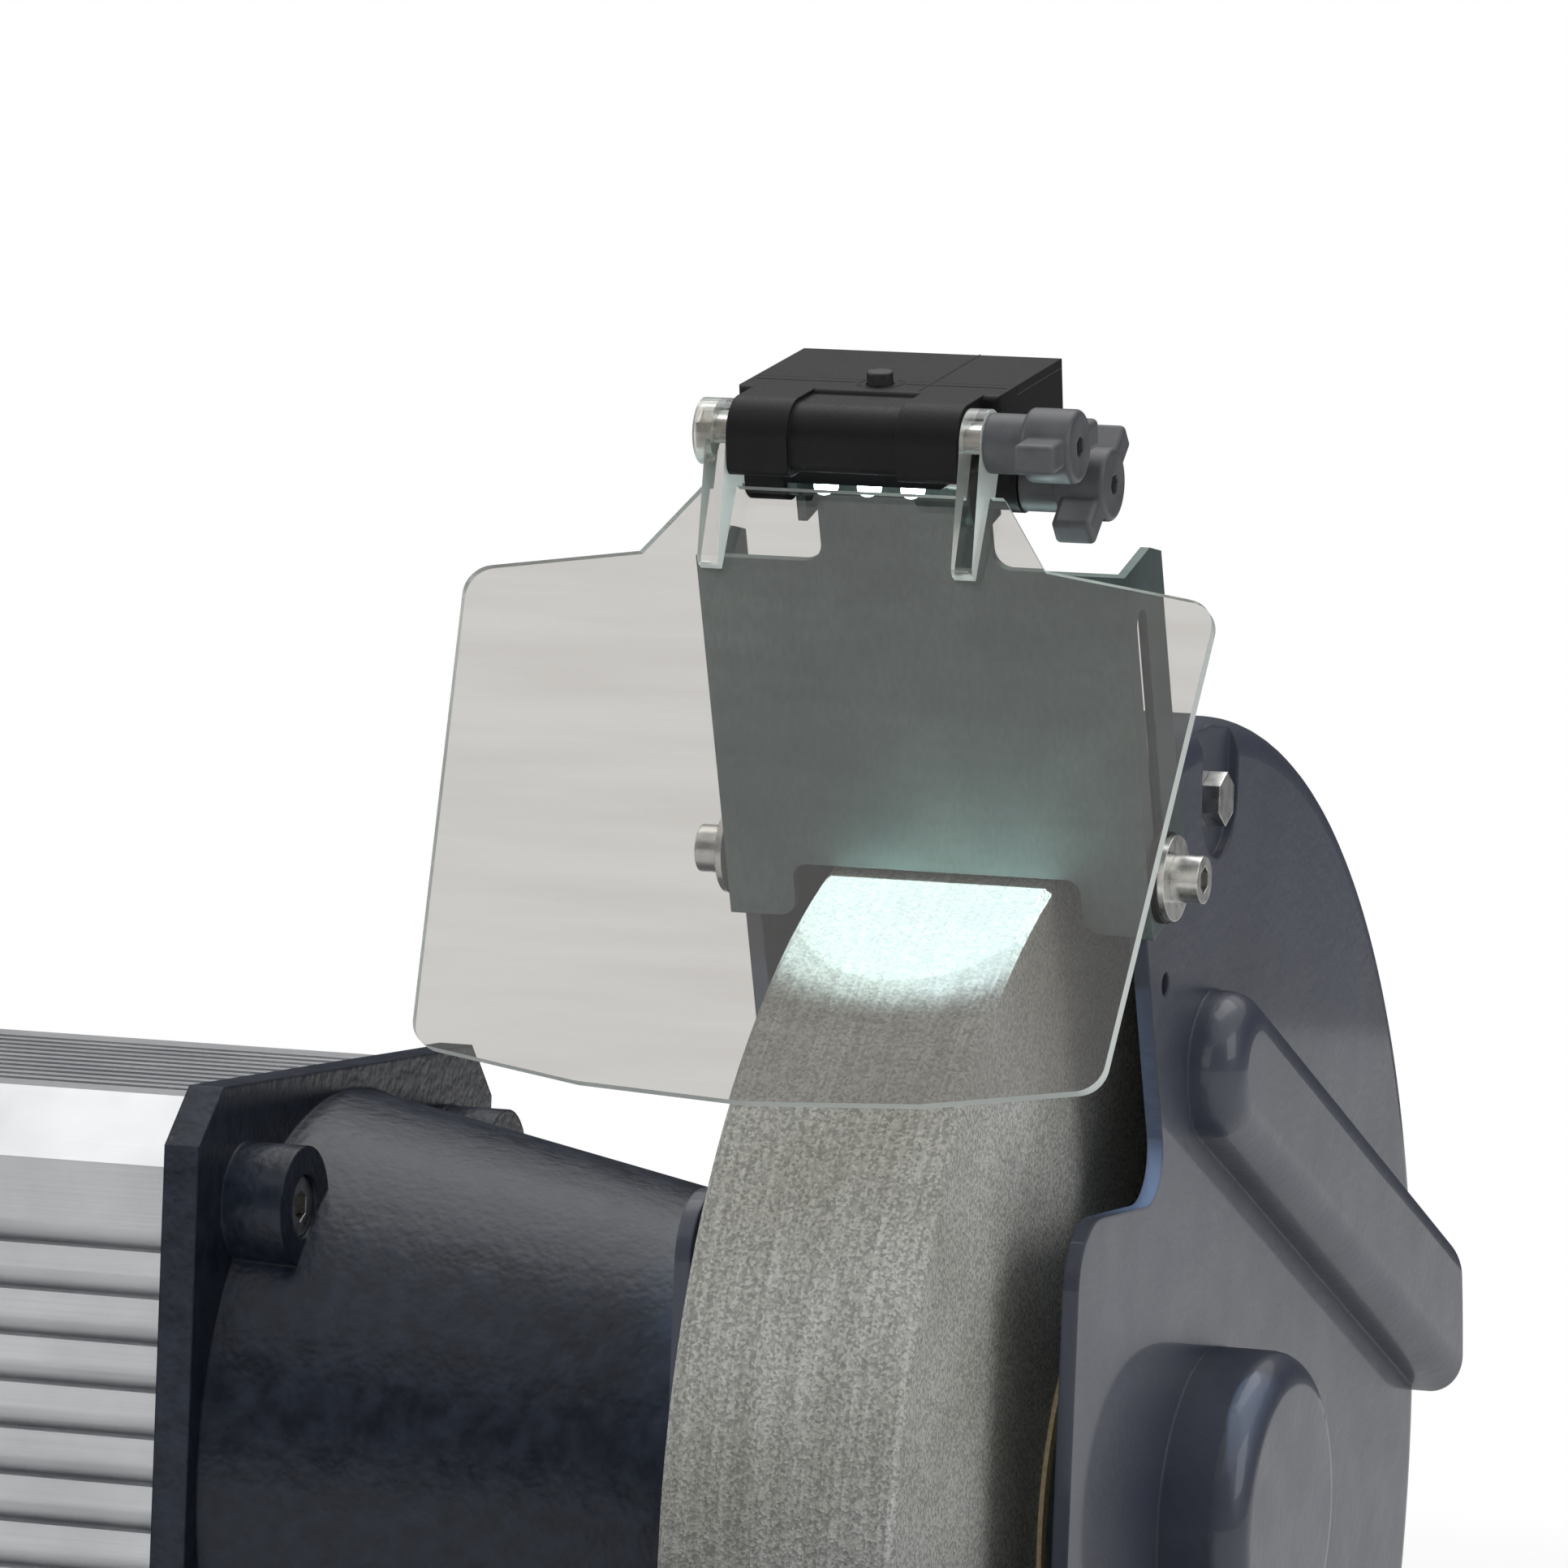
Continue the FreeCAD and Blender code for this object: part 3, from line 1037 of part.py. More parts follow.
def lid_edge(edge):
    if edge.BoundBox.YMin < 0:
        return False
    return straight(edge, Z_AXIS) or (straight(edge, X_AXIS) and near(edge.BoundBox.ZMin, TOP_PLACE))


lid = rounded("lid", lid_block, "lamp_round", lid_edge)
pair("lamp_lid", tilted(group("lamp_lid", [lid])))

cells = [rod(f"cell_{number}", "cell_radius", "cell_thick",
             (f"{side} * (cell_radius + lamp_wall)", "(body_rear) / 2", CELL_FLOOR), UPRIGHT)
         for number, side in enumerate((-1, 1))]
pair("lamp_cells", tilted(group("lamp_cells", cells)))

leds = []
for number in LED_ROW:
    spot = (f"{number} * led_pitch", "-led_front")
    stalk = rod(f"led_stalk_{number + 1}", "led_radius", "nest_drop + led_drop",
                (*spot, f"{NEST_FACE} - led_drop"), UPRIGHT)
    tip = fresh("Part::Sphere", f"led_tip_{number + 1}")
    tip.setExpression("Radius", formula("led_radius"))
    place(tip, (*spot, f"{NEST_FACE} - led_drop"))
    leds.append(joined(f"led_{number + 1}", [stalk, tip]))
pair("lamp_leds", tilted(group("lamp_leds", leds)))

button_stem = rod("button_stem", "button_radius", "button_deep + button_proud",
                  ("0", "-button_front", f"{LAMP_TOP} - button_deep"), UPRIGHT)
button_soft = bevelled("button_soft", button_stem, "push_gap",
                       lambda edge: circle(edge, VALUES["button_radius"]) and edge.BoundBox.ZMin > TOP_PLACE)
pair("lamp_button", tilted(group("lamp_button", [button_soft])))

# Hinge bolts: hex head on one side, the other end in its wing knob

FIN_IN = "(nose_half + slide_gap)"
BOSS_FACE = "(fin_half + eye_boss)"
WELL_FLOOR = f"({BOSS_FACE} - pin_head_tall)"
KNOB_AT_SHIELD = "(fin_half + slide_gap)"
KNOB_AT_LAMP = "(knuckle_end + slide_gap)"


def hinge_bolt(name, head_face, knob_start, spot):
    shank = across(name + "_shank", "pin_size / 2", f"-{head_face}", f"{knob_start} + pin_in_knob", spot)
    head = hexagon(name + "_head", "pin_head", "pin_head_tall", (f"-{head_face} - pin_head_tall", *spot))
    return joined(name, [shank, head])


bolts = group("hinge_bolts", [
    hinge_bolt("shield_bolt", f"({WELL_FLOOR} + push_fit)", KNOB_AT_SHIELD, AT_HINGE),
    hinge_bolt("lamp_bolt", "(knuckle_end + push_fit)", KNOB_AT_LAMP, ("0", "0")),
])
pair("hinge_bolts", tilted(bolts))

# Wing knobs, each modelled upright about its own axis


def knob(name, start):
    stem = rod(name + "_stem", "stem_radius", "stem_length", (start, "0", "0"))
    grip = rod(name + "_grip", "knob_radius", "knob_length", (f"{start} + stem_length", "0", "0"))
    wing_start = f"({start} + stem_length + wing_round)"
    wing = span(name + "_wing", (wing_start, f"{wing_start} + wing_length"), ("-wing_reach", "wing_reach"),
                ("-wing_thick / 2", "wing_thick / 2"))
    wing_soft = rounded(name + "_wing_soft", wing, "wing_round", lambda edge: True)
    grip_soft = rounded(name + "_grip_soft", grip, "wing_round",
                        lambda edge: circle(edge, VALUES["knob_radius"]))
    solid = joined(name + "_solid", [stem, grip_soft, wing_soft])
    hole = rod(name + "_hole", "pin_size / 2 + running_fit", "pin_in_knob + running_fit", (start, "0", "0"))
    socket = hexagon(name + "_socket", "knob_socket", "socket_deep",
                     (f"{start} + stem_length + knob_length - socket_deep", "0", "0"))
    return cut(name, solid, [hole, socket])


shield_knob = lean(knob("shield_knob", KNOB_AT_SHIELD), (WHEEL_X, HINGE_Y, HINGE_Z), "lamp_tilt")
pair("shield_knob", shield_knob)
lamp_knob = lean(knob("lamp_knob", KNOB_AT_LAMP), (WHEEL_X, *PIVOT), "lamp_wing")
pair("lamp_knob", lamp_knob)

# Eye shield: clear panel and two ears, upright about its hinge, then tilted

TOP = "(-shield_drop)"
panel_outline = [
    ("-crown_half", TOP), ("-neck_half", f"{TOP} - neck_drop"), ("-brow_half", f"{TOP} - brow_drop"),
    ("-foot_half", f"{TOP} - foot_drop"), ("-foot_half / 2", f"{TOP} - foot_drop - foot_bow * 3 / 4"),
    ("0", f"{TOP} - foot_drop - foot_bow"), ("foot_half / 2", f"{TOP} - foot_drop - foot_bow * 3 / 4"),
    ("foot_half", f"{TOP} - foot_drop"), ("brow_half", f"{TOP} - brow_drop"),
    ("neck_half", f"{TOP} - neck_drop"), ("crown_half", TOP),
]
panel_sketch = drawn("panel_outline", panel_outline, TOWARD_FRONT, ("0", "shield_back + shield_thick", "0"))
panel_flat = stretched("panel_flat", panel_sketch, Vector(0, -1, 0), "shield_thick")


def panel_corner(edge):
    if not straight(edge, Y_AXIS):
        return False
    wide = abs(edge.Vertexes[0].X)
    return near(wide, VALUES["brow_half"]) or near(wide, VALUES["foot_half"])


panel = rounded("panel", panel_flat, "shield_corner", panel_corner)
BACK_FACE = "(shield_back + shield_thick)"
fin_outline = [
    ("-eye_radius", "0"), ("shield_back - shield_thick", f"{TOP} - fin_length"),
    (BACK_FACE, f"{TOP} - fin_length"), (BACK_FACE, TOP), ("eye_radius", "0"),
]
FIN_WIDTH = f"(fin_half - {FIN_IN})"
FIN_TIP = -VALUES["shield_drop"] - VALUES["fin_length"]
shield_pieces = [panel]
for name, start in (("right", FIN_IN), ("left", "-fin_half")):
    fin = side_prism(f"fin_{name}", fin_outline, start, FIN_WIDTH)
    shield_pieces.append(rounded(f"fin_soft_{name}", fin, "fin_round",
                                 lambda edge: straight(edge, X_AXIS) and near(edge.BoundBox.ZMin, FIN_TIP)))
    shield_pieces.append(rod(f"eye_{name}", "eye_radius", FIN_WIDTH, (start, "0", "0")))
shield_pieces.append(rod("eye_boss_left", "eye_radius", "eye_boss", (f"-{BOSS_FACE}", "0", "0")))
visor_solid = joined("eye_shield_solid", shield_pieces)
shield_bore = across("shield_bore", "pin_size / 2 + running_fit", f"-{BOSS_FACE}", "fin_half", ("0", "0"))
bolt_well = across("bolt_well", "head_well", f"-{BOSS_FACE}", f"-{WELL_FLOOR}", ("0", "0"))
eye_shield = cut("eye_shield", visor_solid, [shield_bore, bolt_well])
lean(eye_shield, (WHEEL_X, HINGE_Y, HINGE_Z), "-shield_tilt")
pair("eye_shield", eye_shield)

# Tool rest: table between two slotted cheeks, bolted to the lugs of the guard

CHEEK_IN = "(guard_half + slide_gap)"
CHEEK_OUT = f"({CHEEK_IN} + cheek_thick)"
TABLE_TOP = f"({AXIS} - rest_below)"
TABLE_FLOOR = f"({TABLE_TOP} - rest_thick)"
TABLE_REAR = "(-wheel_radius - rest_gap)"
REST_WIDTH = (f"{WHEEL_X} - {CHEEK_OUT}", f"{WHEEL_X} + {CHEEK_OUT}")
table = span("rest_table", REST_WIDTH, (f"{TABLE_REAR} - rest_depth", TABLE_REAR), (TABLE_FLOOR, TABLE_TOP))
rest_pieces = [table]
for name, start in (("right", CHEEK_IN), ("left", f"-{CHEEK_OUT}")):
    cheek_outline = [("-cheek_rear", "-cheek_height"), ("-cheek_rear", "0"), ("-cheek_front", "0"),
                     ("-cheek_front", "-cheek_height / 3"), ("-cheek_front * 3 / 4", "-cheek_height")]
    rest_pieces.append(side_prism(f"cheek_{name}", cheek_outline, f"{WHEEL_X} + {start}", "cheek_thick",
                                  TABLE_FLOOR))
rest_solid = joined("rest_solid", rest_pieces)
REST_SLOT = "(rest_bolt / 2 + rest_slot_gap)"
SLOT_FRONT = "(-rest_bolt_front - rest_inward)"
SLOT_REAR = "(-rest_bolt_front + rest_outward)"
CHEEK_SPAN = f"2 * {CHEEK_OUT}"
BOLT_LEVEL = f"({AXIS} - rest_bolt_down)"
rest_slots = [rod(f"rest_slot_{number}", REST_SLOT, CHEEK_SPAN, (REST_WIDTH[0], end, BOLT_LEVEL))
              for number, end in enumerate((SLOT_FRONT, SLOT_REAR))]
rest_slots.append(span("rest_slot_run", REST_WIDTH, (SLOT_FRONT, SLOT_REAR),
                       (f"{BOLT_LEVEL} - {REST_SLOT}", f"{BOLT_LEVEL} + {REST_SLOT}")))
pair("tool_rest", cut("tool_rest", rest_solid, rest_slots))

FLANGE_FACE = f"({CHEEK_OUT} + push_fit)"
REST_HEAD_FACE = f"({FLANGE_FACE} + rest_flange_thick)"
rest_screw = joined("rest_screw", [
    rod("rest_shank", "rest_bolt / 2", f"{FLANGE_FACE} - {BOSS_INSIDE}", (BOSS_INSIDE, "0", "0")),
    rod("rest_flange_disc", "rest_flange", "rest_flange_thick", (FLANGE_FACE, "0", "0")),
    hexagon("rest_head", "rest_bolt_flats", "rest_bolt_head", (REST_HEAD_FACE, "0", "0")),
])
both_ends("tool_rest_bolts", [at_both_walls("rest_screw", rest_screw, REST_BOLT)])

# Base: cast foot and hollow column under the motor

foot_block = block("foot_block", ("base_length", "base_depth", "base_foot"),
                   ("-base_length / 2", "-base_depth / 2", "0"))
foot = rounded("foot", foot_block, "base_corner", lambda edge: straight(edge, Z_AXIS))
column_block = block("column_block", ("column_length", "column_depth", COLUMN_TOP),
                     ("-column_length / 2", "-column_depth / 2", "0"))
column = rounded("column", column_block, "column_corner", lambda edge: straight(edge, Z_AXIS))
base_solid = joined("base_solid", [foot, column])
CAVITY = ("(column_length / 2 - base_wall)", "(column_depth / 2 - base_wall)")
cavity = span("cavity", (f"-{CAVITY[0]}", CAVITY[0]), (f"-{CAVITY[1]}", CAVITY[1]),
              ("0", f"{COLUMN_TOP} - base_roof"))
bench_holes = [rod(f"bench_hole_{number}", "bench_hole / 2", "base_foot",
                   (f"{side} * bench_x / 2", f"{level} * bench_y / 2", "0"), UPRIGHT)
               for number, (side, level) in enumerate(CORNERS)]
SWITCH_FACE = "(-column_depth / 2)"
START_UP = "(switch_up + switch_pitch / 2)"
STOP_UP = "(switch_up - switch_pitch / 2)"
PUSH_HOLE = "(stem_push + push_gap)"
push_holes = [rod(f"push_hole_{number}", PUSH_HOLE, "base_wall + switch_thick",
                  ("0", f"{SWITCH_FACE} + base_wall", up), TOWARD_FRONT)
              for number, up in enumerate((START_UP, STOP_UP))]
GLAND_FACE = "(column_depth / 2)"
GLAND_START = ("0", f"{GLAND_FACE} - base_wall", "gland_up")
gland_way = rod("gland_way", "gland_radius + push_fit", "base_wall", GLAND_START, ALONG_Y)
drill_up = group("foot_drill", foot_holes)
base_posts = []
bottom_holes = []
bottom_screws = []
for number, (side, level) in enumerate(CORNERS):
    spot = (f"{side} * ({CAVITY[0]} - bottom_lip)", f"{level} * ({CAVITY[1]} - bottom_lip)")
    post_size = ("2 * bottom_lip", "2 * bottom_lip", f"{COLUMN_TOP} - base_roof - bottom_thick")
    base_posts.append(block(f"post_{number}", post_size,
                            (f"{spot[0]} - bottom_lip", f"{spot[1]} - bottom_lip", "bottom_thick")))
    foot = (*spot, "0")
    bottom_holes.append(rod(f"bottom_hole_{number}", "bottom_screw / 2 + push_fit", "base_foot",
                            foot, UPRIGHT))
    bottom_screws.append(rod(f"bottom_screw_{number}", "bottom_screw / 2", "base_foot", foot, UPRIGHT))
base_hollow = cut("base_hollow", base_solid, [cavity])
base_posted = joined("base_posted", [base_hollow, *base_posts])
node("base_casting", cut("base_casting", base_posted,
                         [*bench_holes, *push_holes, gland_way, drill_up, *bottom_holes]))

bottom_block = span("bottom_block", (f"-{CAVITY[0]} + push_fit", f"{CAVITY[0]} - push_fit"),
                    (f"-{CAVITY[1]} + push_fit", f"{CAVITY[1]} - push_fit"), ("0", "bottom_thick"))
node("bottom_plate", cut("bottom_plate", bottom_block, bottom_holes))
node("bottom_plate_screws", group("bottom_plate_screws", bottom_screws))

# Switch plate and its two push buttons on the front of the column

switch_block = span("switch_block", ("-switch_width / 2", "switch_width / 2"),
                    (f"{SWITCH_FACE} - switch_thick", SWITCH_FACE),
                    ("switch_up - switch_height / 2", "switch_up + switch_height / 2"))
switch_soft = rounded("switch_soft", switch_block, "lug_gap", lambda edge: straight(edge, Y_AXIS))
node("switch_plate", cut("switch_plate", switch_soft, push_holes))
PLATE_FACE = f"({SWITCH_FACE} - switch_thick)"


def push_stem(name, proud, up):
    """The stem of a push button, from inside the column to its outer end."""
    return rod(name, "stem_push", f"push_deep + switch_thick + {proud}",
               ("0", f"{SWITCH_FACE} + push_deep", up), TOWARD_FRONT)


node("start_button", push_stem("start_button", "start_proud", START_UP))
stop_cap = rod("stop_cap", "stop_radius", "stop_cap", ("0", f"{PLATE_FACE} - stop_proud + stop_cap", STOP_UP),
               TOWARD_FRONT)
node("stop_button", joined("stop_button", [push_stem("stop_stem", "stop_proud", STOP_UP), stop_cap]))

# Cable gland at the rear, and the run capacitor lying on the bottom plate

gland_body = rod("gland_body", "gland_radius", "base_wall + gland_proud", GLAND_START, ALONG_Y)
gland_nut = hexagon("gland_nut", "gland_flats", "gland_nut", ("0", GLAND_FACE, "gland_up"), ALONG_Y)
gland_bore = rod("gland_bore", "gland_hole", "base_wall + gland_proud", GLAND_START, ALONG_Y)
node("cable_gland", cut("cable_gland", joined("gland_solid", [gland_body, gland_nut]), [gland_bore]))
node("run_capacitor", rod("run_capacitor", "capacitor_radius", "capacitor_length",
                          ("-capacitor_length / 2", "0", "bottom_thick + capacitor_radius")))

# Check and write every piece

doc.recompute()
faults = [piece.Name for piece in doc.Objects if {"Invalid", "Error"} & set(piece.State)]
for piece in NODES:
    if piece.Shape.isNull() or not piece.Shape.isValid() or not piece.Shape.Solids:
        faults.append(piece.Label)
if faults:
    raise RuntimeError("pieces that failed: " + ", ".join(faults))

os.makedirs("parts", exist_ok=True)
for piece in NODES:
    piece.Shape.exportStep(os.path.join("parts", piece.Label + ".step"))
    print(f"{piece.Label}: {len(piece.Shape.Solids)} solids, {piece.Shape.Volume / 1000:.1f} cm3")
print(f"{len(NODES)} nodes written")
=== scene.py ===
# %% [markdown]
# A bench grinder with a lamp over each wheel, seen from its right-hand end.
# The solids come ready measured, so this lesson is about finish:
# paint, cast skin, grit, steel and clear plastic.
# We load the solids first.

# %% Load the machine
import json
import math

import bmesh
import bpy
from mathutils import Matrix, Vector

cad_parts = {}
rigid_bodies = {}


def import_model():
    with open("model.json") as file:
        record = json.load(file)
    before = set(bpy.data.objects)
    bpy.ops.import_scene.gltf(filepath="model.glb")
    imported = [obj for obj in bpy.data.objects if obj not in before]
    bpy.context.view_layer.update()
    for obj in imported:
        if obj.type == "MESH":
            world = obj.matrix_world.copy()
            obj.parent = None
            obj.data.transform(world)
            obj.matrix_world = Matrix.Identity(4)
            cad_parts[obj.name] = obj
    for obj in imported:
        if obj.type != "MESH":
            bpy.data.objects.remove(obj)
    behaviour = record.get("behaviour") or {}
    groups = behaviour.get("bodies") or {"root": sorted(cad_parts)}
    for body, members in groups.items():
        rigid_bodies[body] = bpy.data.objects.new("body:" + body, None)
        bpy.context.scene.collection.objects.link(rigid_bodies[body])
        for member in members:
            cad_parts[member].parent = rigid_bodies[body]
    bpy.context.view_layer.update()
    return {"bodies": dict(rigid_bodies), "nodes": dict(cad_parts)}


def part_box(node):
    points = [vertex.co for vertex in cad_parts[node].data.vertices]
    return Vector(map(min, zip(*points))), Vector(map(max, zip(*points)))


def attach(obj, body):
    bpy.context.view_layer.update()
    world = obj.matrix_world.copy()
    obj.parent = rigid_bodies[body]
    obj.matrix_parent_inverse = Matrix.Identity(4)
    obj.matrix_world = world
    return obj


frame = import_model()

# %% [markdown]
# Colours are easiest to pick as the hex values that a screen shows, but shaders add light in linear values.
# One function does the change, so every colour below can stay in the form that a paint chart uses.
# Sizes of patterns are easiest in millimetres, and a texture wants repeats per metre,
# so a second function turns the one into the other.


# %% Colour and scale
def linear(code):
    """Turns an sRGB hex colour into the linear RGBA that shaders use."""
    parts = [int(code[place:place + 2], 16) / 255 for place in (1, 3, 5)]
    curved = [part / 12.92 if part <= 0.04045 else ((part + 0.055) / 1.055) ** 2.4 for part in parts]
    return (*curved, 1)


def every(millimetres):
    """Gives the texture scale that repeats once in that many millimetres."""
    return 1000 / millimetres


MM = 0.001
print("mid grey is", linear("#808080")[0])

# %% [markdown]
# A finish is a small network of nodes that ends in one Principled shader.
# Nodes could be placed by hand in the shader editor. In a script, one function that adds a node
# with its sockets, settings and links keeps each recipe short enough to read from top to bottom.
# Most values of a noise lie near its middle, so a ramp runs from its first colour to its second there.

# %% Start a finish
NOISE_SPAN = (0.35, 0.65)
EDGE_QUALITY = {"samples": 4}
DARKEN = {"blend_type": "MULTIPLY"}


def add(finish, kind, sockets=None, settings=None, colours=(), span=NOISE_SPAN):
    """Adds one node; a socket takes a constant or another node's output, and a ramp takes two colours."""
    node = finish.node_tree.nodes.new("ShaderNode" + kind)
    for name, value in (settings or {}).items():
        setattr(node, name, value)
    for name, value in (sockets or {}).items():
        if isinstance(value, bpy.types.NodeSocket):
            finish.node_tree.links.new(value, node.inputs[name])
        else:
            node.inputs[name].default_value = value
    for number, code in enumerate(colours):
        stop = node.color_ramp.elements[number]
        stop.position = span[number]
        stop.color = linear(code)
    return node


def new_finish(name):
    """Gives an empty finish and the coordinates of its surface in metres."""
    finish = bpy.data.materials.new(name)
    finish.use_nodes = True
    finish.node_tree.nodes.clear()
    return finish, add(finish, "TexCoord").outputs["Object"]


def close_finish(finish, sockets):
    """Ends a finish in a Principled shader with these sockets."""
    shader = add(finish, "BsdfPrincipled", sockets)
    add(finish, "OutputMaterial", {"Surface": shader.outputs["BSDF"]})
    print("finish:", finish.name)
    return finish


finishes = {}
print("finishes start empty")

# %% [markdown]
# The guards are iron castings sprayed with dark blue-grey alkyd enamel.
# Enamel flows out before it dries, but over a cast skin it keeps a soft orange peel,
# so highlights look slightly rippled. The peel is a noise about 2.5 mm across.
# A second noise the size of a hand gives the faint change from coat to coat,
# and a third of 14 mm changes the gloss.
# Edges of a real casting are never knife sharp: the bevel node rounds them for the light alone.

# %% Gloss alkyd enamel on cast iron
enamel, place = new_finish("gloss_alkyd_enamel_on_cast_iron")
peel = add(enamel, "TexNoise", {"Vector": place, "Scale": every(2.5), "Detail": 3})
coat = add(enamel, "TexNoise", {"Vector": place, "Scale": every(70), "Detail": 4})
swirl = add(enamel, "TexNoise", {"Vector": place, "Scale": every(14), "Detail": 2})
tint = add(enamel, "ValToRGB", {"Fac": coat.outputs["Fac"]}, colours=("#2e323e", "#373b48"))
gloss = add(enamel, "MapRange", {"Value": swirl.outputs["Fac"], "To Min": 0.36, "To Max": 0.52})
soft_edge = add(enamel, "Bevel", {"Radius": 0.9 * MM}, EDGE_QUALITY)
skin = add(enamel, "Bump", {"Strength": 0.35, "Distance": 0.35 * MM, "Height": peel.outputs["Fac"],
                            "Normal": soft_edge.outputs["Normal"]})
finishes["guard_paint"] = close_finish(enamel, {
    "Base Color": tint.outputs["Color"], "Roughness": gloss.outputs["Result"], "IOR": 1.5,
    "Coat Weight": 0.3, "Coat Roughness": 0.06, "Normal": skin.outputs["Normal"]})

# %% [markdown]
# The base is a heavier casting with a thicker, more textured coat, as machine bases usually have.
# It takes a peel and a coat as the guards do, but the peel is coarser with deeper relief,
# and no glossy layer lies over it. The tool rests have the same coat.

# %% Textured enamel on the base casting
base_coat, place = new_finish("textured_enamel_on_base_casting")
peel = add(base_coat, "TexNoise", {"Vector": place, "Scale": every(3.2), "Detail": 5})
coat = add(base_coat, "TexNoise", {"Vector": place, "Scale": every(90), "Detail": 4})
tint = add(base_coat, "ValToRGB", {"Fac": coat.outputs["Fac"]}, colours=("#292e3b", "#343947"))
gloss = add(base_coat, "MapRange", {"Value": peel.outputs["Fac"], "To Min": 0.34, "To Max": 0.55})
soft_edge = add(base_coat, "Bevel", {"Radius": 1.2 * MM}, EDGE_QUALITY)
skin = add(base_coat, "Bump", {"Strength": 0.5, "Distance": 0.5 * MM, "Height": peel.outputs["Fac"],
                               "Normal": soft_edge.outputs["Normal"]})
finishes["base_paint"] = close_finish(base_coat, {
    "Base Color": tint.outputs["Color"], "Roughness": gloss.outputs["Result"], "IOR": 1.5,
    "Normal": skin.outputs["Normal"]})

# %% [markdown]
# The motor's end shields are sand castings under thin, nearly black paint.
# Sand leaves grains of about 1.6 mm that the paint doesn't fill, and the skin glints where grains stand up.
# A cell pattern gives the rounded grains, and a noise breaks them up so that no grid shows.

# %% Thin dark paint on sand-cast metal
GRAIN_SHARE = 0.35
cast_skin, place = new_finish("thin_dark_paint_on_sand_casting")
grains = add(cast_skin, "TexVoronoi", {"Vector": place, "Scale": every(1.6)}, {"feature": "SMOOTH_F1"})
lumps = add(cast_skin, "TexNoise", {"Vector": place, "Scale": every(5), "Detail": 6})
relief = add(cast_skin, "Math", {0: grains.outputs["Distance"], 1: GRAIN_SHARE, 2: lumps.outputs["Fac"]},
             {"operation": "MULTIPLY_ADD"})
tint = add(cast_skin, "ValToRGB", {"Fac": lumps.outputs["Fac"]}, colours=("#151a24", "#222834"))
gloss = add(cast_skin, "MapRange", {"Value": lumps.outputs["Fac"], "To Min": 0.22, "To Max": 0.45})
soft_edge = add(cast_skin, "Bevel", {"Radius": 1.0 * MM}, EDGE_QUALITY)
skin = add(cast_skin, "Bump", {"Strength": 0.45, "Distance": 0.6 * MM, "Height": relief.outputs["Value"],
                               "Normal": soft_edge.outputs["Normal"]})
finishes["cast_black"] = close_finish(cast_skin, {
    "Base Color": tint.outputs["Color"], "Roughness": gloss.outputs["Result"], "IOR": 1.5,
    "Specular IOR Level": 0.3, "Normal": skin.outputs["Normal"]})

# %% [markdown]
# The motor housing is an aluminium extrusion, so its drawn lines run along the spindle.
# A noise stretched along X draws them. Real lines are a tenth of a millimetre wide,
# and are drawn at 0.6 mm to show. The capacitor's can takes the same finish.

# %% Extruded aluminium
extrusion, place = new_finish("extruded_aluminium")
drawn = add(extrusion, "Mapping", {"Vector": place, "Scale": (every(160), every(0.6), every(0.6))})
lines = add(extrusion, "TexNoise", {"Vector": drawn.outputs["Vector"], "Scale": 1, "Detail": 2})
haze = add(extrusion, "TexNoise", {"Vector": place, "Scale": every(35), "Detail": 3})
tint = add(extrusion, "ValToRGB", {"Fac": haze.outputs["Fac"]}, colours=("#cfd1d3", "#e2e3e4"))
gloss = add(extrusion, "MapRange", {"Value": lines.outputs["Fac"], "To Min": 0.28, "To Max": 0.5})
skin = add(extrusion, "Bump", {"Strength": 0.15, "Distance": 0.1 * MM, "Height": lines.outputs["Fac"]})
finishes["aluminium"] = close_finish(extrusion, {
    "Base Color": tint.outputs["Color"], "Metallic": 1, "Roughness": gloss.outputs["Result"],
    "Normal": skin.outputs["Normal"]})

# %% [markdown]
# The wheels are aluminium oxide grit fired in a glassy bond, dressed true with a diamond.
# To the eye that is a salt-and-pepper of pale and darker grey grits with pits between them,
# and faint rings left by the diamond.
# Grit of this grade is about 0.4 mm; it is drawn at 0.6 mm so that single grains still show.

# %% Vitrified aluminium oxide
grit, place = new_finish("vitrified_aluminium_oxide")
grains = add(grit, "TexVoronoi", {"Vector": place, "Scale": every(0.6)})
pores = add(grit, "TexNoise", {"Vector": place, "Scale": every(0.8), "Detail": 4, "Roughness": 0.7})
stain = add(grit, "TexNoise", {"Vector": place, "Scale": every(45), "Detail": 3})
dressed = add(grit, "Mapping", {"Vector": place, "Scale": (every(0.9), every(60), every(60))})
rings = add(grit, "TexNoise", {"Vector": dressed.outputs["Vector"], "Scale": 1, "Detail": 2})
speckle = add(grit, "SeparateColor", {"Color": grains.outputs["Color"]})
grain_tint = add(grit, "ValToRGB", {"Fac": speckle.outputs["Red"]},
                 colours=("#8f908d", "#bfc0bb"), span=(0.1, 0.9))
ring_tint = add(grit, "ValToRGB", {"Fac": rings.outputs["Fac"]}, colours=("#d2d1cc", "#ffffff"))
stain_tint = add(grit, "ValToRGB", {"Fac": stain.outputs["Fac"]}, colours=("#dedcd5", "#ffffff"))
ringed = add(grit, "MixRGB", {"Fac": 0.7, "Color1": grain_tint.outputs["Color"],
                              "Color2": ring_tint.outputs["Color"]}, DARKEN)
stained = add(grit, "MixRGB", {"Fac": 0.8, "Color1": ringed.outputs["Color"],
                               "Color2": stain_tint.outputs["Color"]}, DARKEN)
rough = add(grit, "Math", {0: grains.outputs["Distance"], 1: pores.outputs["Fac"]}, {"operation": "ADD"})
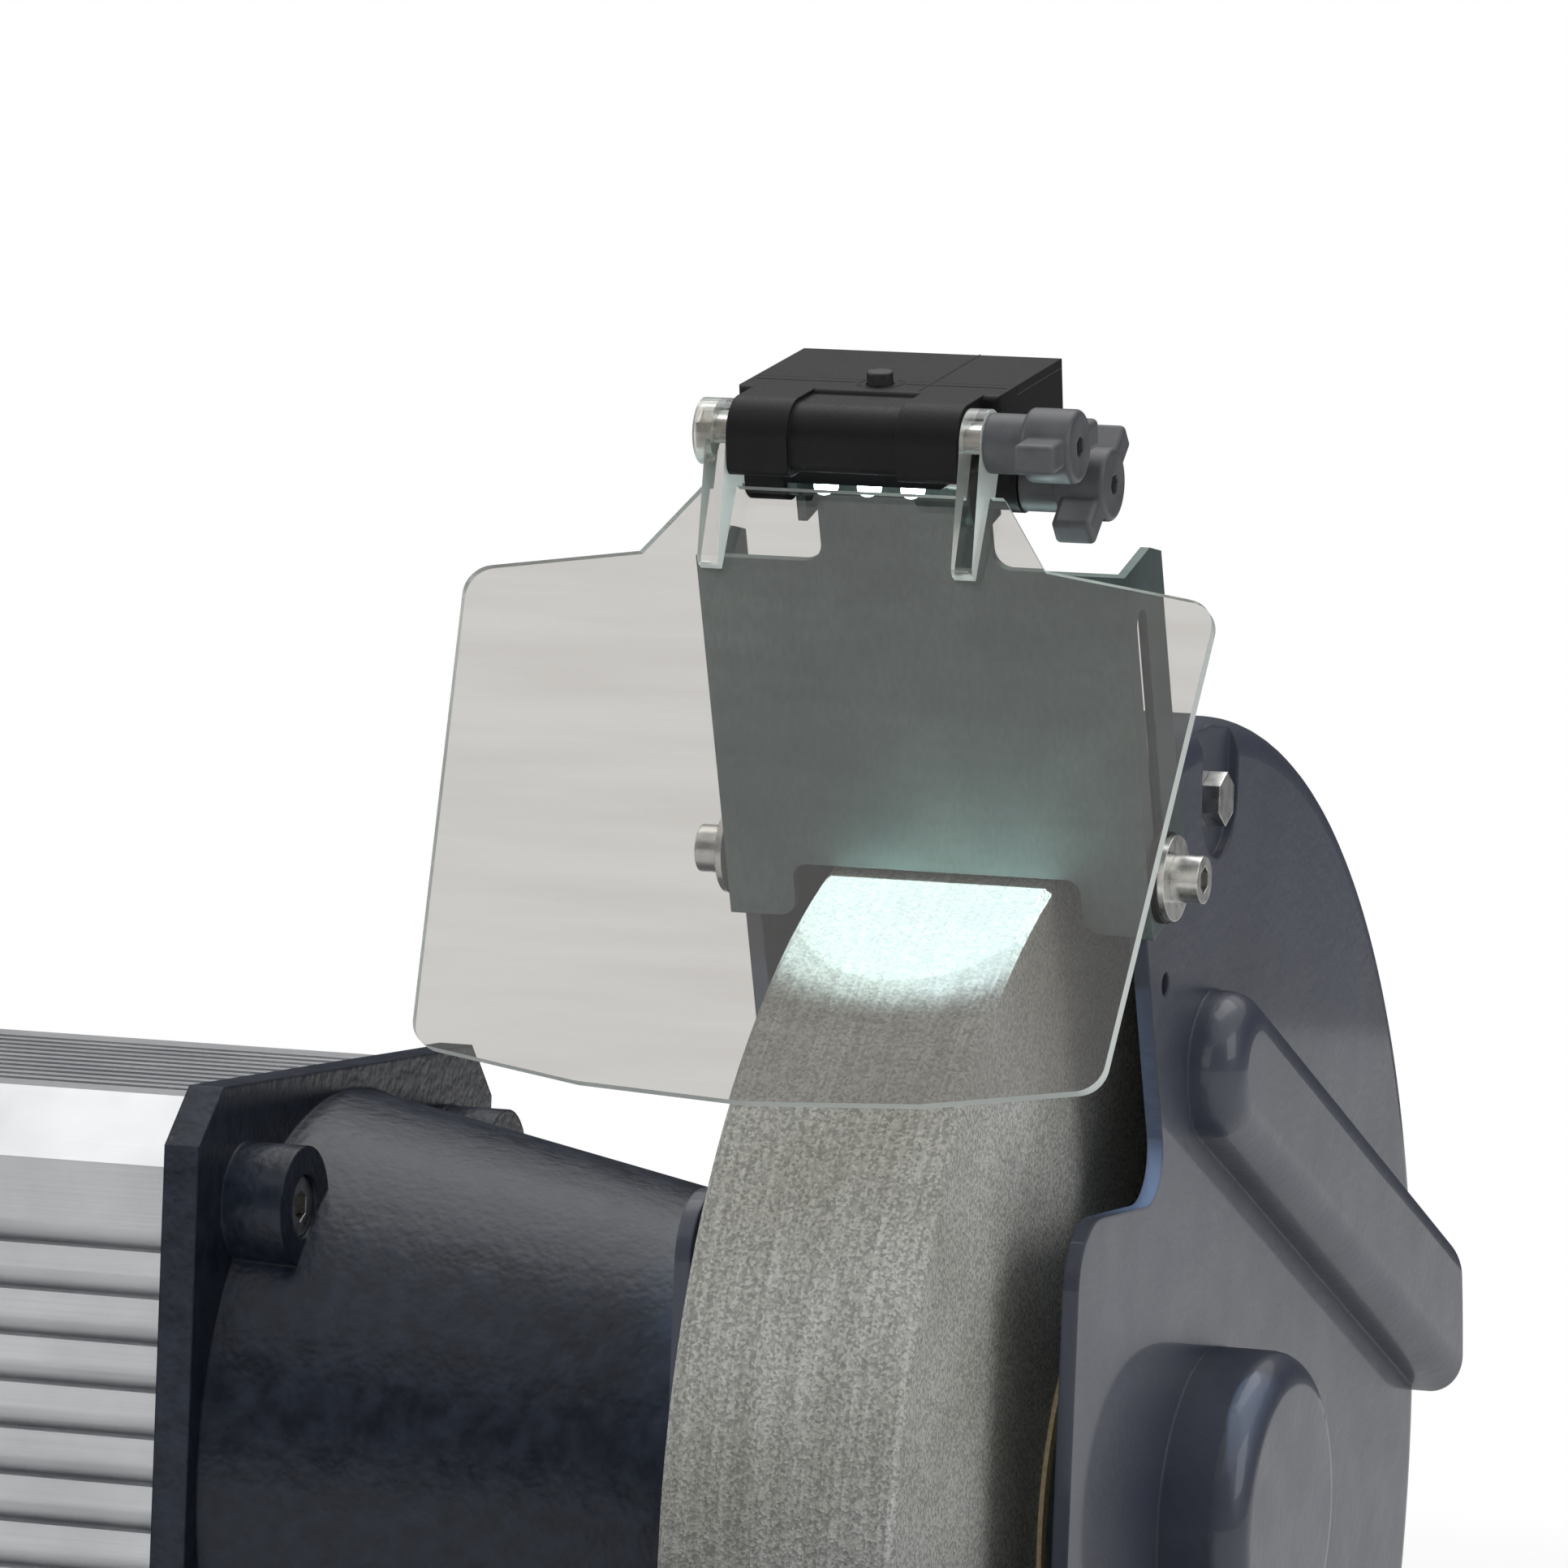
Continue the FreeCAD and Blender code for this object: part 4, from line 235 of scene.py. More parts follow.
gloss = add(grit, "MapRange", {"Value": pores.outputs["Fac"], "To Min": 0.75, "To Max": 0.98})
skin = add(grit, "Bump", {"Strength": 0.5, "Distance": 0.5 * MM, "Height": rough.outputs["Value"]})
finishes["abrasive"] = close_finish(grit, {
    "Base Color": stained.outputs["Color"], "Roughness": gloss.outputs["Result"], "IOR": 1.6,
    "Normal": skin.outputs["Normal"]})

# %% [markdown]
# Blotters are discs of soft card between wheel and flange.
# Pressed fibre shows as a short felt of pale and dark specks, about a millimetre long.

# %% Blotter card
card, place = new_finish("blotter_card")
fibre = add(card, "TexNoise", {"Vector": place, "Scale": every(1), "Detail": 6, "Roughness": 0.7})
tint = add(card, "ValToRGB", {"Fac": fibre.outputs["Fac"]}, colours=("#a89873", "#c9bb98"))
gloss = add(card, "MapRange", {"Value": fibre.outputs["Fac"], "To Min": 0.8, "To Max": 0.95})
skin = add(card, "Bump", {"Strength": 0.3, "Distance": 0.1 * MM, "Height": fibre.outputs["Fac"]})
finishes["paper"] = close_finish(card, {
    "Base Color": tint.outputs["Color"], "Roughness": gloss.outputs["Result"],
    "Normal": skin.outputs["Normal"]})

# %% [markdown]
# The spark plates are bare cold-rolled sheet steel, bent and left unpainted.
# The spindle and the wheel flanges are bare steel too, and take the same finish.
# Rolling draws fine streaks along the sheet, and handling leaves cloudy patches,
# a little darker or duller than the rest.
# The streaks are a noise stretched along the sheet's height.
# Real ones are finer; these are drawn 0.7 mm wide, to show.

# %% Cold-rolled sheet steel
sheet_steel, place = new_finish("cold_rolled_sheet_steel")
rolled = add(sheet_steel, "Mapping", {"Vector": place, "Scale": (every(0.7), every(0.7), every(60))})
streaks = add(sheet_steel, "TexNoise", {"Vector": rolled.outputs["Vector"], "Scale": 1, "Detail": 3})
clouds = add(sheet_steel, "TexNoise", {"Vector": place, "Scale": every(38), "Detail": 5, "Roughness": 0.6})
cloud_tint = add(sheet_steel, "ValToRGB", {"Fac": clouds.outputs["Fac"]}, colours=("#546260", "#6f7c7a"))
streak_tint = add(sheet_steel, "ValToRGB", {"Fac": streaks.outputs["Fac"]}, colours=("#d8d8d5", "#ffffff"))
tint = add(sheet_steel, "MixRGB", {"Fac": 0.6, "Color1": cloud_tint.outputs["Color"],
                                   "Color2": streak_tint.outputs["Color"]}, DARKEN)
gloss = add(sheet_steel, "MapRange", {"Value": clouds.outputs["Fac"], "To Min": 0.36, "To Max": 0.6})
soft_edge = add(sheet_steel, "Bevel", {"Radius": 0.4 * MM}, EDGE_QUALITY)
skin = add(sheet_steel, "Bump", {"Strength": 0.12, "Distance": 0.1 * MM, "Height": streaks.outputs["Fac"],
                                 "Normal": soft_edge.outputs["Normal"]})
finishes["steel"] = close_finish(sheet_steel, {
    "Base Color": tint.outputs["Color"], "Metallic": 1, "Roughness": gloss.outputs["Result"],
    "Normal": skin.outputs["Normal"]})

# %% [markdown]
# Screws, bolts, nuts, washers and the bottom plate are zinc plated: a thin bright coat
# over turned and pressed steel. The coin cells in the lamps look much the same and share it.
# Plating is smooth but not polished, with patches of slightly different brightness a few millimetres wide.

# %% Zinc-plated steel
plating, place = new_finish("zinc_plated_steel")
patches = add(plating, "TexNoise", {"Vector": place, "Scale": every(3), "Detail": 4})
tint = add(plating, "ValToRGB", {"Fac": patches.outputs["Fac"]}, colours=("#b9b8b4", "#d3d3cf"))
gloss = add(plating, "MapRange", {"Value": patches.outputs["Fac"], "To Min": 0.2, "To Max": 0.38})
soft_edge = add(plating, "Bevel", {"Radius": 0.35 * MM}, EDGE_QUALITY)
skin = add(plating, "Bump", {"Strength": 0.1, "Distance": 0.05 * MM, "Height": patches.outputs["Fac"],
                             "Normal": soft_edge.outputs["Normal"]})
finishes["zinc"] = close_finish(plating, {
    "Base Color": tint.outputs["Color"], "Metallic": 1, "Roughness": gloss.outputs["Result"],
    "Normal": skin.outputs["Normal"]})

# %% [markdown]
# Bearing rings and balls are ground steel: nearly a mirror, with grinding lines around the shaft.
# Lines that change only along X are rings on anything that turns about X, so one stretched noise is enough.
# Real lines are finer; these are drawn every 0.5 mm, to show.

# %% Ground bearing steel
ground, place = new_finish("ground_bearing_steel")
turned = add(ground, "Mapping", {"Vector": place, "Scale": (every(0.5), every(80), every(80))})
lines = add(ground, "TexNoise", {"Vector": turned.outputs["Vector"], "Scale": 1, "Detail": 2})
tint = add(ground, "ValToRGB", {"Fac": lines.outputs["Fac"]}, colours=("#c3c5c7", "#d9dadc"))
gloss = add(ground, "MapRange", {"Value": lines.outputs["Fac"], "To Min": 0.12, "To Max": 0.26})
skin = add(ground, "Bump", {"Strength": 0.08, "Distance": 0.05 * MM, "Height": lines.outputs["Fac"]})
finishes["bearing_steel"] = close_finish(ground, {
    "Base Color": tint.outputs["Color"], "Metallic": 1, "Roughness": gloss.outputs["Result"],
    "Normal": skin.outputs["Normal"]})

# %% [markdown]
# The rotor and stator are stacks of thin iron sheets, half a millimetre each.
# A wave across X gives the dark line between sheets.
# Its bands are about 6 mm wide, far coarser than the sheets.
# A wave texture of scale 1 repeats every tau / 20 units, which has to be taken into its scale.

# %% Stacked iron laminations
WAVE_REPEAT = math.tau / 20
SHEET_BAND = 6.2832
stack, place = new_finish("stacked_iron_laminations")
sheets = add(stack, "TexWave", {"Vector": place, "Scale": every(SHEET_BAND) * WAVE_REPEAT, "Distortion": 0.3},
             {"bands_direction": "X"})
tint = add(stack, "ValToRGB", {"Fac": sheets.outputs["Fac"]}, colours=("#4c4f54", "#777a7e"))
gloss = add(stack, "MapRange", {"Value": sheets.outputs["Fac"], "To Min": 0.4, "To Max": 0.6})
skin = add(stack, "Bump", {"Strength": 0.4, "Distance": 0.15 * MM, "Height": sheets.outputs["Fac"]})
finishes["core_iron"] = close_finish(stack, {
    "Base Color": tint.outputs["Color"], "Metallic": 1, "Roughness": gloss.outputs["Result"],
    "Normal": skin.outputs["Normal"]})

# %% [markdown]
# Windings are copper wire under brown enamel, laid round in rings.
# Real wire is about a millimetre thick. The bands here are 7.5 mm wide and stand for bundles of it.
# The enamel is clear and glossy, so copper stays metallic below a thin coat.

# %% Enamelled copper wire
WIRE_BAND = 7.5398
wire, place = new_finish("enamelled_copper_wire")
turns = add(wire, "TexWave", {"Vector": place, "Scale": every(WIRE_BAND) * WAVE_REPEAT, "Distortion": 1.5},
            {"wave_type": "RINGS", "rings_direction": "X"})
tint = add(wire, "ValToRGB", {"Fac": turns.outputs["Fac"]}, colours=("#6e3a1c", "#b8703c"))
gloss = add(wire, "MapRange", {"Value": turns.outputs["Fac"], "To Min": 0.25, "To Max": 0.45})
skin = add(wire, "Bump", {"Strength": 0.6, "Distance": 0.4 * MM, "Height": turns.outputs["Fac"]})
finishes["copper"] = close_finish(wire, {
    "Base Color": tint.outputs["Color"], "Metallic": 1, "Roughness": gloss.outputs["Result"],
    "Coat Weight": 0.6, "Normal": skin.outputs["Normal"]})

# %% [markdown]
# Shaft seals and the pads under the spark plates' washers are nitrile rubber: dull black,
# with a fine bloom that greys it in patches of about 4 mm.

# %% Nitrile rubber
rubber, place = new_finish("nitrile_rubber")
bloom = add(rubber, "TexNoise", {"Vector": place, "Scale": every(4), "Detail": 5})
tint = add(rubber, "ValToRGB", {"Fac": bloom.outputs["Fac"]}, colours=("#141414", "#232322"))
gloss = add(rubber, "MapRange", {"Value": bloom.outputs["Fac"], "To Min": 0.6, "To Max": 0.8})
finishes["seal_rubber"] = close_finish(rubber, {
    "Base Color": tint.outputs["Color"], "Roughness": gloss.outputs["Result"], "IOR": 1.52})

# %% [markdown]
# The lamp's housing and lid are moulded black ABS.
# Their mould was spark eroded, which leaves a fine matt grain of about 0.3 mm.
# That is drawn at 0.7 mm, low enough that the plastic still takes a soft sheen along its edges.

# %% Black ABS
lamp_abs, place = new_finish("spark_textured_black_abs")
grain = add(lamp_abs, "TexNoise", {"Vector": place, "Scale": every(0.7), "Detail": 3})
worn = add(lamp_abs, "TexNoise", {"Vector": place, "Scale": every(18), "Detail": 3})
tint = add(lamp_abs, "ValToRGB", {"Fac": worn.outputs["Fac"]}, colours=("#08080a", "#0f0f11"))
gloss = add(lamp_abs, "MapRange", {"Value": grain.outputs["Fac"], "To Min": 0.42, "To Max": 0.62})
soft_edge = add(lamp_abs, "Bevel", {"Radius": 0.5 * MM}, EDGE_QUALITY)
skin = add(lamp_abs, "Bump", {"Strength": 0.3, "Distance": 0.12 * MM, "Height": grain.outputs["Fac"],
                              "Normal": soft_edge.outputs["Normal"]})
finishes["lamp_plastic"] = close_finish(lamp_abs, {
    "Base Color": tint.outputs["Color"], "Roughness": gloss.outputs["Result"], "IOR": 1.53,
    "Specular IOR Level": 0.2, "Normal": skin.outputs["Normal"]})

# %% [markdown]
# The wing knobs are glass-filled nylon, moulded mid grey. Glass fibres near the skin make it slightly cloudy.
# The cloud is a noise of 6 mm and the fibre grain one of 0.8 mm.

# %% Grey glass-filled nylon
nylon, place = new_finish("grey_glass_filled_nylon")
cloud = add(nylon, "TexNoise", {"Vector": place, "Scale": every(6), "Detail": 4})
grain = add(nylon, "TexNoise", {"Vector": place, "Scale": every(0.8), "Detail": 2})
tint = add(nylon, "ValToRGB", {"Fac": cloud.outputs["Fac"]}, colours=("#3c3d40", "#494a4d"))
gloss = add(nylon, "MapRange", {"Value": cloud.outputs["Fac"], "To Min": 0.38, "To Max": 0.55})
soft_edge = add(nylon, "Bevel", {"Radius": 0.6 * MM}, EDGE_QUALITY)
skin = add(nylon, "Bump", {"Strength": 0.2, "Distance": 0.1 * MM, "Height": grain.outputs["Fac"],
                           "Normal": soft_edge.outputs["Normal"]})
finishes["knob_plastic"] = close_finish(nylon, {
    "Base Color": tint.outputs["Color"], "Roughness": gloss.outputs["Result"], "IOR": 1.53,
    "Normal": skin.outputs["Normal"]})

# %% [markdown]
# The eye shields are clear polycarbonate, 3 mm thick, which takes a slight warm-grey tint
# and gathers light at its edges.
# Its faces are as smooth as glass, with a faint haze from wiping that follows a noise stretched sideways.
# Its cut edges are milled and a little matt, so they scatter light and shine pale. Which surface is an edge
# can be read from its own normal: on an edge it lies at right angles to the direction that the sheet faces.

# %% Clear polycarbonate
SHEET_LEAN = math.radians(22.5)
sheet_facing = (0, -math.cos(SHEET_LEAN), math.sin(SHEET_LEAN))
clear, place = new_finish("clear_polycarbonate")
wiped = add(clear, "Mapping", {"Vector": place, "Scale": (every(60), every(6), every(6))})
haze = add(clear, "TexNoise", {"Vector": wiped.outputs["Vector"], "Scale": 1, "Detail": 3})
own_normal = add(clear, "TexCoord").outputs["Normal"]
facing = add(clear, "VectorMath", {0: own_normal, 1: sheet_facing}, {"operation": "DOT_PRODUCT"})
flat = add(clear, "Math", {0: facing.outputs["Value"]}, {"operation": "ABSOLUTE"})
cut_edge = add(clear, "MapRange", {"Value": flat.outputs["Value"], "From Min": 0.3, "From Max": 0.75,
                                   "To Min": 1, "To Max": 0})
sheet_tint = add(clear, "ValToRGB", {"Fac": haze.outputs["Fac"]}, colours=("#c3c0bc", "#cac8c4"))
tint = add(clear, "MixRGB", {"Fac": cut_edge.outputs["Result"], "Color1": sheet_tint.outputs["Color"],
                             "Color2": linear("#e4ece7")})
gloss = add(clear, "MapRange", {"Value": cut_edge.outputs["Result"], "To Min": 0.01, "To Max": 0.3})
clearness = add(clear, "MapRange", {"Value": cut_edge.outputs["Result"], "To Min": 1, "To Max": 0.45})
finishes["clear"] = close_finish(clear, {
    "Base Color": tint.outputs["Color"], "Roughness": gloss.outputs["Result"], "IOR": 1.58,
    "Transmission Weight": clearness.outputs["Result"]})

# %% [markdown]
# The lamps burn white light-emitting diodes: clear epoxy beads around a small bright chip.
# The bead itself glows cool white, and a noise of 2.5 mm gives its phosphor a faint change of colour.

# %% Lit epoxy beads
bead, place = new_finish("lit_clear_epoxy")
phosphor = add(bead, "TexNoise", {"Vector": place, "Scale": every(2.5), "Detail": 1})
tint = add(bead, "ValToRGB", {"Fac": phosphor.outputs["Fac"]}, colours=("#dfe9ee", "#ffffff"))
finishes["led"] = close_finish(bead, {
    "Base Color": tint.outputs["Color"], "Roughness": 0.08, "IOR": 1.54,
    "Emission Color": linear("#d9f4fb"), "Emission Strength": 9})

# %% [markdown]
# The start and stop buttons are moulded PBT, which is glossier than the lamp's ABS and slightly waxy.
# The two colours share a recipe, so a loop makes both.

# %% Red and green PBT
for slot_name, dark, light in (("red", "#9c1512", "#b21f19"), ("green", "#176a35", "#1f7d41")):
    pbt, place = new_finish(slot_name + "_pbt")
    flow = add(pbt, "TexNoise", {"Vector": place, "Scale": every(9), "Detail": 3})
    tint = add(pbt, "ValToRGB", {"Fac": flow.outputs["Fac"]}, colours=(dark, light))
    gloss = add(pbt, "MapRange", {"Value": flow.outputs["Fac"], "To Min": 0.25, "To Max": 0.4})
    soft_edge = add(pbt, "Bevel", {"Radius": 0.6 * MM}, EDGE_QUALITY)
    finishes[slot_name] = close_finish(pbt, {
        "Base Color": tint.outputs["Color"], "Roughness": gloss.outputs["Result"], "IOR": 1.55,
        "Normal": soft_edge.outputs["Normal"]})

# %% [markdown]
# The switch plate, the cable gland and the lamps' push buttons are black nylon with a moulded satin skin.
# Its grain is a noise of 1.1 mm.

# %% Black nylon
black_nylon, place = new_finish("satin_black_nylon")
grain = add(black_nylon, "TexNoise", {"Vector": place, "Scale": every(1.1), "Detail": 4})
tint = add(black_nylon, "ValToRGB", {"Fac": grain.outputs["Fac"]}, colours=("#161617", "#232325"))
gloss = add(black_nylon, "MapRange", {"Value": grain.outputs["Fac"], "To Min": 0.4, "To Max": 0.58})
soft_edge = add(black_nylon, "Bevel", {"Radius": 0.5 * MM}, EDGE_QUALITY)
skin = add(black_nylon, "Bump", {"Strength": 0.25, "Distance": 0.12 * MM, "Height": grain.outputs["Fac"],
                                 "Normal": soft_edge.outputs["Normal"]})
finishes["black_plastic"] = close_finish(black_nylon, {
    "Base Color": tint.outputs["Color"], "Roughness": gloss.outputs["Result"], "IOR": 1.53,
    "Normal": skin.outputs["Normal"]})

# %% [markdown]
# Every node arrives with a plain stand-in that is named for its slot in the record.
# Swapping by name dresses all sixty nodes at once, and a name without a finish would stop the script here.

# %% Dress the solids
for part in frame["nodes"].values():
    for holder in part.material_slots:
        holder.material = finishes[holder.material.name.split(".")[0]]
print("dressed", len(frame["nodes"]), "nodes")

# %% [markdown]
# Light passes a clear sheet, but a renderer that samples lamps directly sees it as a wall
# and darkens what lies behind.
# Letting the shields cast no shadow gives the wheel behind them the light that a real sheet lets through.

# %% Let light through the eye shields
SIDES = {"right": 1, "left": -1}
for side in SIDES:
    frame["nodes"][side + "_eye_shield"].visible_shadow = False
print("shields cast no shadow")

# %% [markdown]
# Small marks on the lamp's lid don't show in the solids: a joint across it, a joint along it
# on either side of the button, and the slots beside the button.
# The lamp leans forward, so its points are given in the lamp's own millimetres and turned into place.

# %% Points on the leaning lamp
LAMP_PIVOT = Vector((272, -105.261, 425.364))
LAMP_LEAN = math.radians(11.6)
LID_TOP = 19.7


def on_lamp(side, across, back, up):
    """Turns millimetres on a lamp into metres on the machine."""
    turned = Matrix.Rotation(LAMP_LEAN, 3, "X") @ Vector((0, back, up))
    middle = SIDES[side] * LAMP_PIVOT.x
    return Vector((middle + across, LAMP_PIVOT.y + turned.y, LAMP_PIVOT.z + turned.z)) * MM


print("pivot of the right lamp:", on_lamp("right", 0, 0, 0))

# %% [markdown]
# A joint in black plastic is a thin line that no light reaches.
# It could be cut with booleans, but a dark ribbon that lies just proud of the lid
# looks the same and needs no cut.
# The ribbon is a strip of faces between two rails, so it can also bend round the button.

# %% Lay a ribbon
RIBBON_RISE = 0.06
joint_shade, place = new_finish("shadowed_joint_in_abs")
dust = add(joint_shade, "TexNoise", {"Vector": place, "Scale": every(2), "Detail": 3})
tint = add(joint_shade, "ValToRGB", {"Fac": dust.outputs["Fac"]}, colours=("#050505", "#0b0b0c"))
gloss = add(joint_shade, "MapRange", {"Value": dust.outputs["Fac"], "To Min": 0.7, "To Max": 0.95})
close_finish(joint_shade, {"Base Color": tint.outputs["Color"], "Roughness": gloss.outputs["Result"]})


def finished_mesh(name, sheet, finish):
    """Turns a bmesh into an object with one finish."""
    mesh = bpy.data.meshes.new(name)
    sheet.to_mesh(mesh)
    sheet.free()
    mesh.materials.append(finish)
    thing = bpy.data.objects.new(name, mesh)
    bpy.context.collection.objects.link(thing)
    return thing


def ribbon(name, side, spots, width):
    """Lays a flat ribbon through spots on the lid, given as (across, back) in millimetres."""
    sheet = bmesh.new()
    rails = []
    for number, spot in enumerate(spots):
        before = Vector(spots[max(number - 1, 0)])
        after = Vector(spots[min(number + 1, len(spots) - 1)])
        run = (after - before).normalized()
        aside = Vector((-run.y, run.x)) * width / 2
        rails.append([sheet.verts.new(on_lamp(side, *(Vector(spot) + aside * way), LID_TOP + RIBBON_RISE))
                      for way in (1, -1)])
    for first, second in zip(rails, rails[1:]):
        sheet.faces.new((first[0], first[1], second[1], second[0]))
    bmesh.ops.recalc_face_normals(sheet, faces=sheet.faces)
    piece = finished_mesh(name, sheet, joint_shade)
    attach(piece, side + "_lamp")


print("ribbons are", RIBBON_RISE, "mm proud of the lid")

# %% [markdown]
# The lid's joints run straight, and a curved slot lies on each side of the button.
# Where the button sits is read from its own box, so the marks beside it follow it.

# %% Joints and slots of the lids
LID_EDGE = 1
JOINT_WIDTH = 0.45
CROSS_JOINT_ASIDE = 10.3
CROSS_JOINT_REAR = 28
CROSS_JOINT_FRONT = -10
LONG_JOINT_START = 5.5
SLOT_RADIUS = 4.6
SLOT_WIDTH = 0.7
SLOT_TURNS = [math.radians(step) for step in range(-50, 51, 10)]
for side in SIDES:
    button_low, button_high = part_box(side + "_lamp_button")
    middle = (Vector(button_low) + Vector(button_high)) / 2
    back = (middle.y / MM - LAMP_PIVOT.y + LID_TOP * math.sin(LAMP_LEAN)) / math.cos(LAMP_LEAN)
    lid_low, lid_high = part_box(side + "_lamp_lid")
    lid_half = (lid_high[0] - lid_low[0]) / MM / 2 - LID_EDGE
    cross_joint = [(CROSS_JOINT_ASIDE, CROSS_JOINT_REAR), (CROSS_JOINT_ASIDE, CROSS_JOINT_FRONT)]
    ribbon(side + "_lid_cross_joint", side, cross_joint, JOINT_WIDTH)
    for way, label in ((1, "right"), (-1, "left")):
        long_joint = [(way * LONG_JOINT_START, back), (way * lid_half, back)]
        ribbon(f"{side}_lid_long_joint_{label}", side, long_joint, JOINT_WIDTH)
        arc = [(way * SLOT_RADIUS * math.cos(turn), back + SLOT_RADIUS * math.sin(turn))
               for turn in SLOT_TURNS]
        ribbon(f"{side}_button_slot_{label}", side, arc, SLOT_WIDTH)
    print(side, "lid marks lie around", round(back, 2), "mm behind the pivot")

# %% [markdown]
# Each lamp lights its wheel. A glowing bead alone is too small to light anything without noise,
# so a soft spot lamp sits just below each bead and is tied to the lamp's body: it tilts when the lamp tilts.
# The beads look back at the wheel, so the beam leans further than the lamp.
# The spots are hidden from mirrors, because the bead is what a shiny surface should show.

# %% Light below the beads
BEADS = 3
LED_WATTS = 4
LED_SIZE = 1.5 * MM
LED_DROP = 3 * MM
BEAM_LEAN = math.radians(30)
BEAM_SPREAD = math.radians(44)
for side in SIDES:
    low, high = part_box(side + "_lamp_leds")
    holder = frame["bodies"][side + "_lamp"]
    for number in range(BEADS):
        spot = bpy.data.lights.new(f"{side}_bead_light_{number + 1}", "SPOT")
        spot.energy = LED_WATTS
        spot.color = linear("#d6f3ff")[:3]
        spot.spot_size = BEAM_SPREAD
        spot.spot_blend = 1
        spot.shadow_soft_size = LED_SIZE
        source = bpy.data.objects.new(spot.name, spot)
        bpy.context.collection.objects.link(source)
        share = (number + 0.5) / BEADS
        source.location = (low[0] + (high[0] - low[0]) * share, (low[1] + high[1]) / 2, low[2] - LED_DROP)
        source.rotation_euler = (BEAM_LEAN, 0, 0)
        source.visible_glossy = False
        source.parent = holder
        source.matrix_parent_inverse = holder.matrix_world.inverted()
    print(side, "beads at", [round(value, 4) for value in low], [round(value, 4) for value in high])

# %% [markdown]
# The machine stands on a plain pale floor. Far from the machine the floor turns into plain white,
# as a paper sweep does, so no horizon shows; near it the floor stays a matt surface and keeps the shadow.

# %% Floor
FLOOR_REACH = 6
floor_paper, place = new_finish("matt_white_paper")
tooth = add(floor_paper, "TexNoise", {"Vector": place, "Scale": every(30), "Detail": 3})
tint = add(floor_paper, "ValToRGB", {"Fac": tooth.outputs["Fac"]}, colours=("#f3f3f2", "#f8f8f8"))
matt = add(floor_paper, "BsdfDiffuse", {"Color": tint.outputs["Color"]})
far = add(floor_paper, "VectorMath", {0: place}, {"operation": "LENGTH"})
fade = add(floor_paper, "MapRange", {"Value": far.outputs["Value"], "From Min": 0.55, "From Max": 1.6})
glow = add(floor_paper, "Emission", {"Color": (1, 1, 1, 1), "Strength": 1})
sweep = add(floor_paper, "MixShader", {0: fade.outputs["Result"], 1: matt.outputs["BSDF"],
                                       2: glow.outputs["Emission"]})
add(floor_paper, "OutputMaterial", {"Surface": sweep.outputs["Shader"]})
disc = bmesh.new()
bmesh.ops.create_circle(disc, cap_ends=True, segments=96, radius=FLOOR_REACH)
finished_mesh("floor", disc, floor_paper)
print("floor radius", FLOOR_REACH, "m")

# %% [markdown]
# The machine stands in a white room.
# It is plain white where the camera, a mirror or a clear sheet looks at it, and dimmer where it lights
# the machine, so that light panels can still shape the forms and every colour renders about as it is written.

# %% White room
ROOM_LIGHT = 0.45
room = bpy.data.worlds.new("white_room")
room.use_nodes = True
room.node_tree.nodes.clear()
bpy.context.scene.world = room
ray = add(room, "LightPath")
straight = add(room, "Math", {0: ray.outputs["Is Camera Ray"], 1: ray.outputs["Is Transmission Ray"]},
               {"operation": "MAXIMUM"})
shown = add(room, "Math", {0: straight.outputs["Value"], 1: ray.outputs["Is Glossy Ray"]},
            {"operation": "MAXIMUM"})
dim = add(room, "Background", {"Color": linear("#fbfcff"), "Strength": ROOM_LIGHT})
plain = add(room, "Background", {"Color": (1, 1, 1, 1), "Strength": 1})
both = add(room, "MixShader", {0: shown.outputs["Value"], 1: dim.outputs["Background"],
                               2: plain.outputs["Background"]})
add(room, "OutputWorld", {"Surface": both.outputs["Shader"]})
print("room strength as light:", ROOM_LIGHT)

# %% [markdown]
# Gloss paint and bright metal look flat when all they mirror is white,
# so studios hang dark cloth around the table.
# A ring of dark cloth, seen by mirrors alone, gives dark sides and bright tops from any view,
# and dims no light.

# %% Dark cloth in the reflections
CLOTH_REACH = 4.2
CLOTH_TOP = 3
cloth, place = new_finish("dark_studio_cloth")
weave = add(cloth, "TexNoise", {"Vector": place, "Scale": every(400), "Detail": 2})
tint = add(cloth, "ValToRGB", {"Fac": weave.outputs["Fac"]}, colours=("#2f3136", "#4a4c52"))
dull = add(cloth, "Emission", {"Color": tint.outputs["Color"], "Strength": 1})
add(cloth, "OutputMaterial", {"Surface": dull.outputs["Emission"]})
hoop = bmesh.new()
bmesh.ops.create_cone(hoop, cap_ends=False, segments=96, radius1=CLOTH_REACH, radius2=CLOTH_REACH,
                      depth=CLOTH_TOP)
bmesh.ops.translate(hoop, vec=(0, 0, CLOTH_TOP / 2), verts=hoop.verts)
curtain = finished_mesh("studio_cloth", hoop, cloth)
curtain.visible_camera = False
curtain.visible_diffuse = False
curtain.visible_transmission = False
curtain.visible_shadow = False
print("cloth", CLOTH_TOP, "m high at", CLOTH_REACH, "m")

# %% [markdown]
# Soft studio light comes from four large panels. One big lamp would do for brightness,
# but panels on several sides show the round of the guards and the flat of the covers.
# The front panel is hidden from mirrors, or the clear shields would show it as a white square.


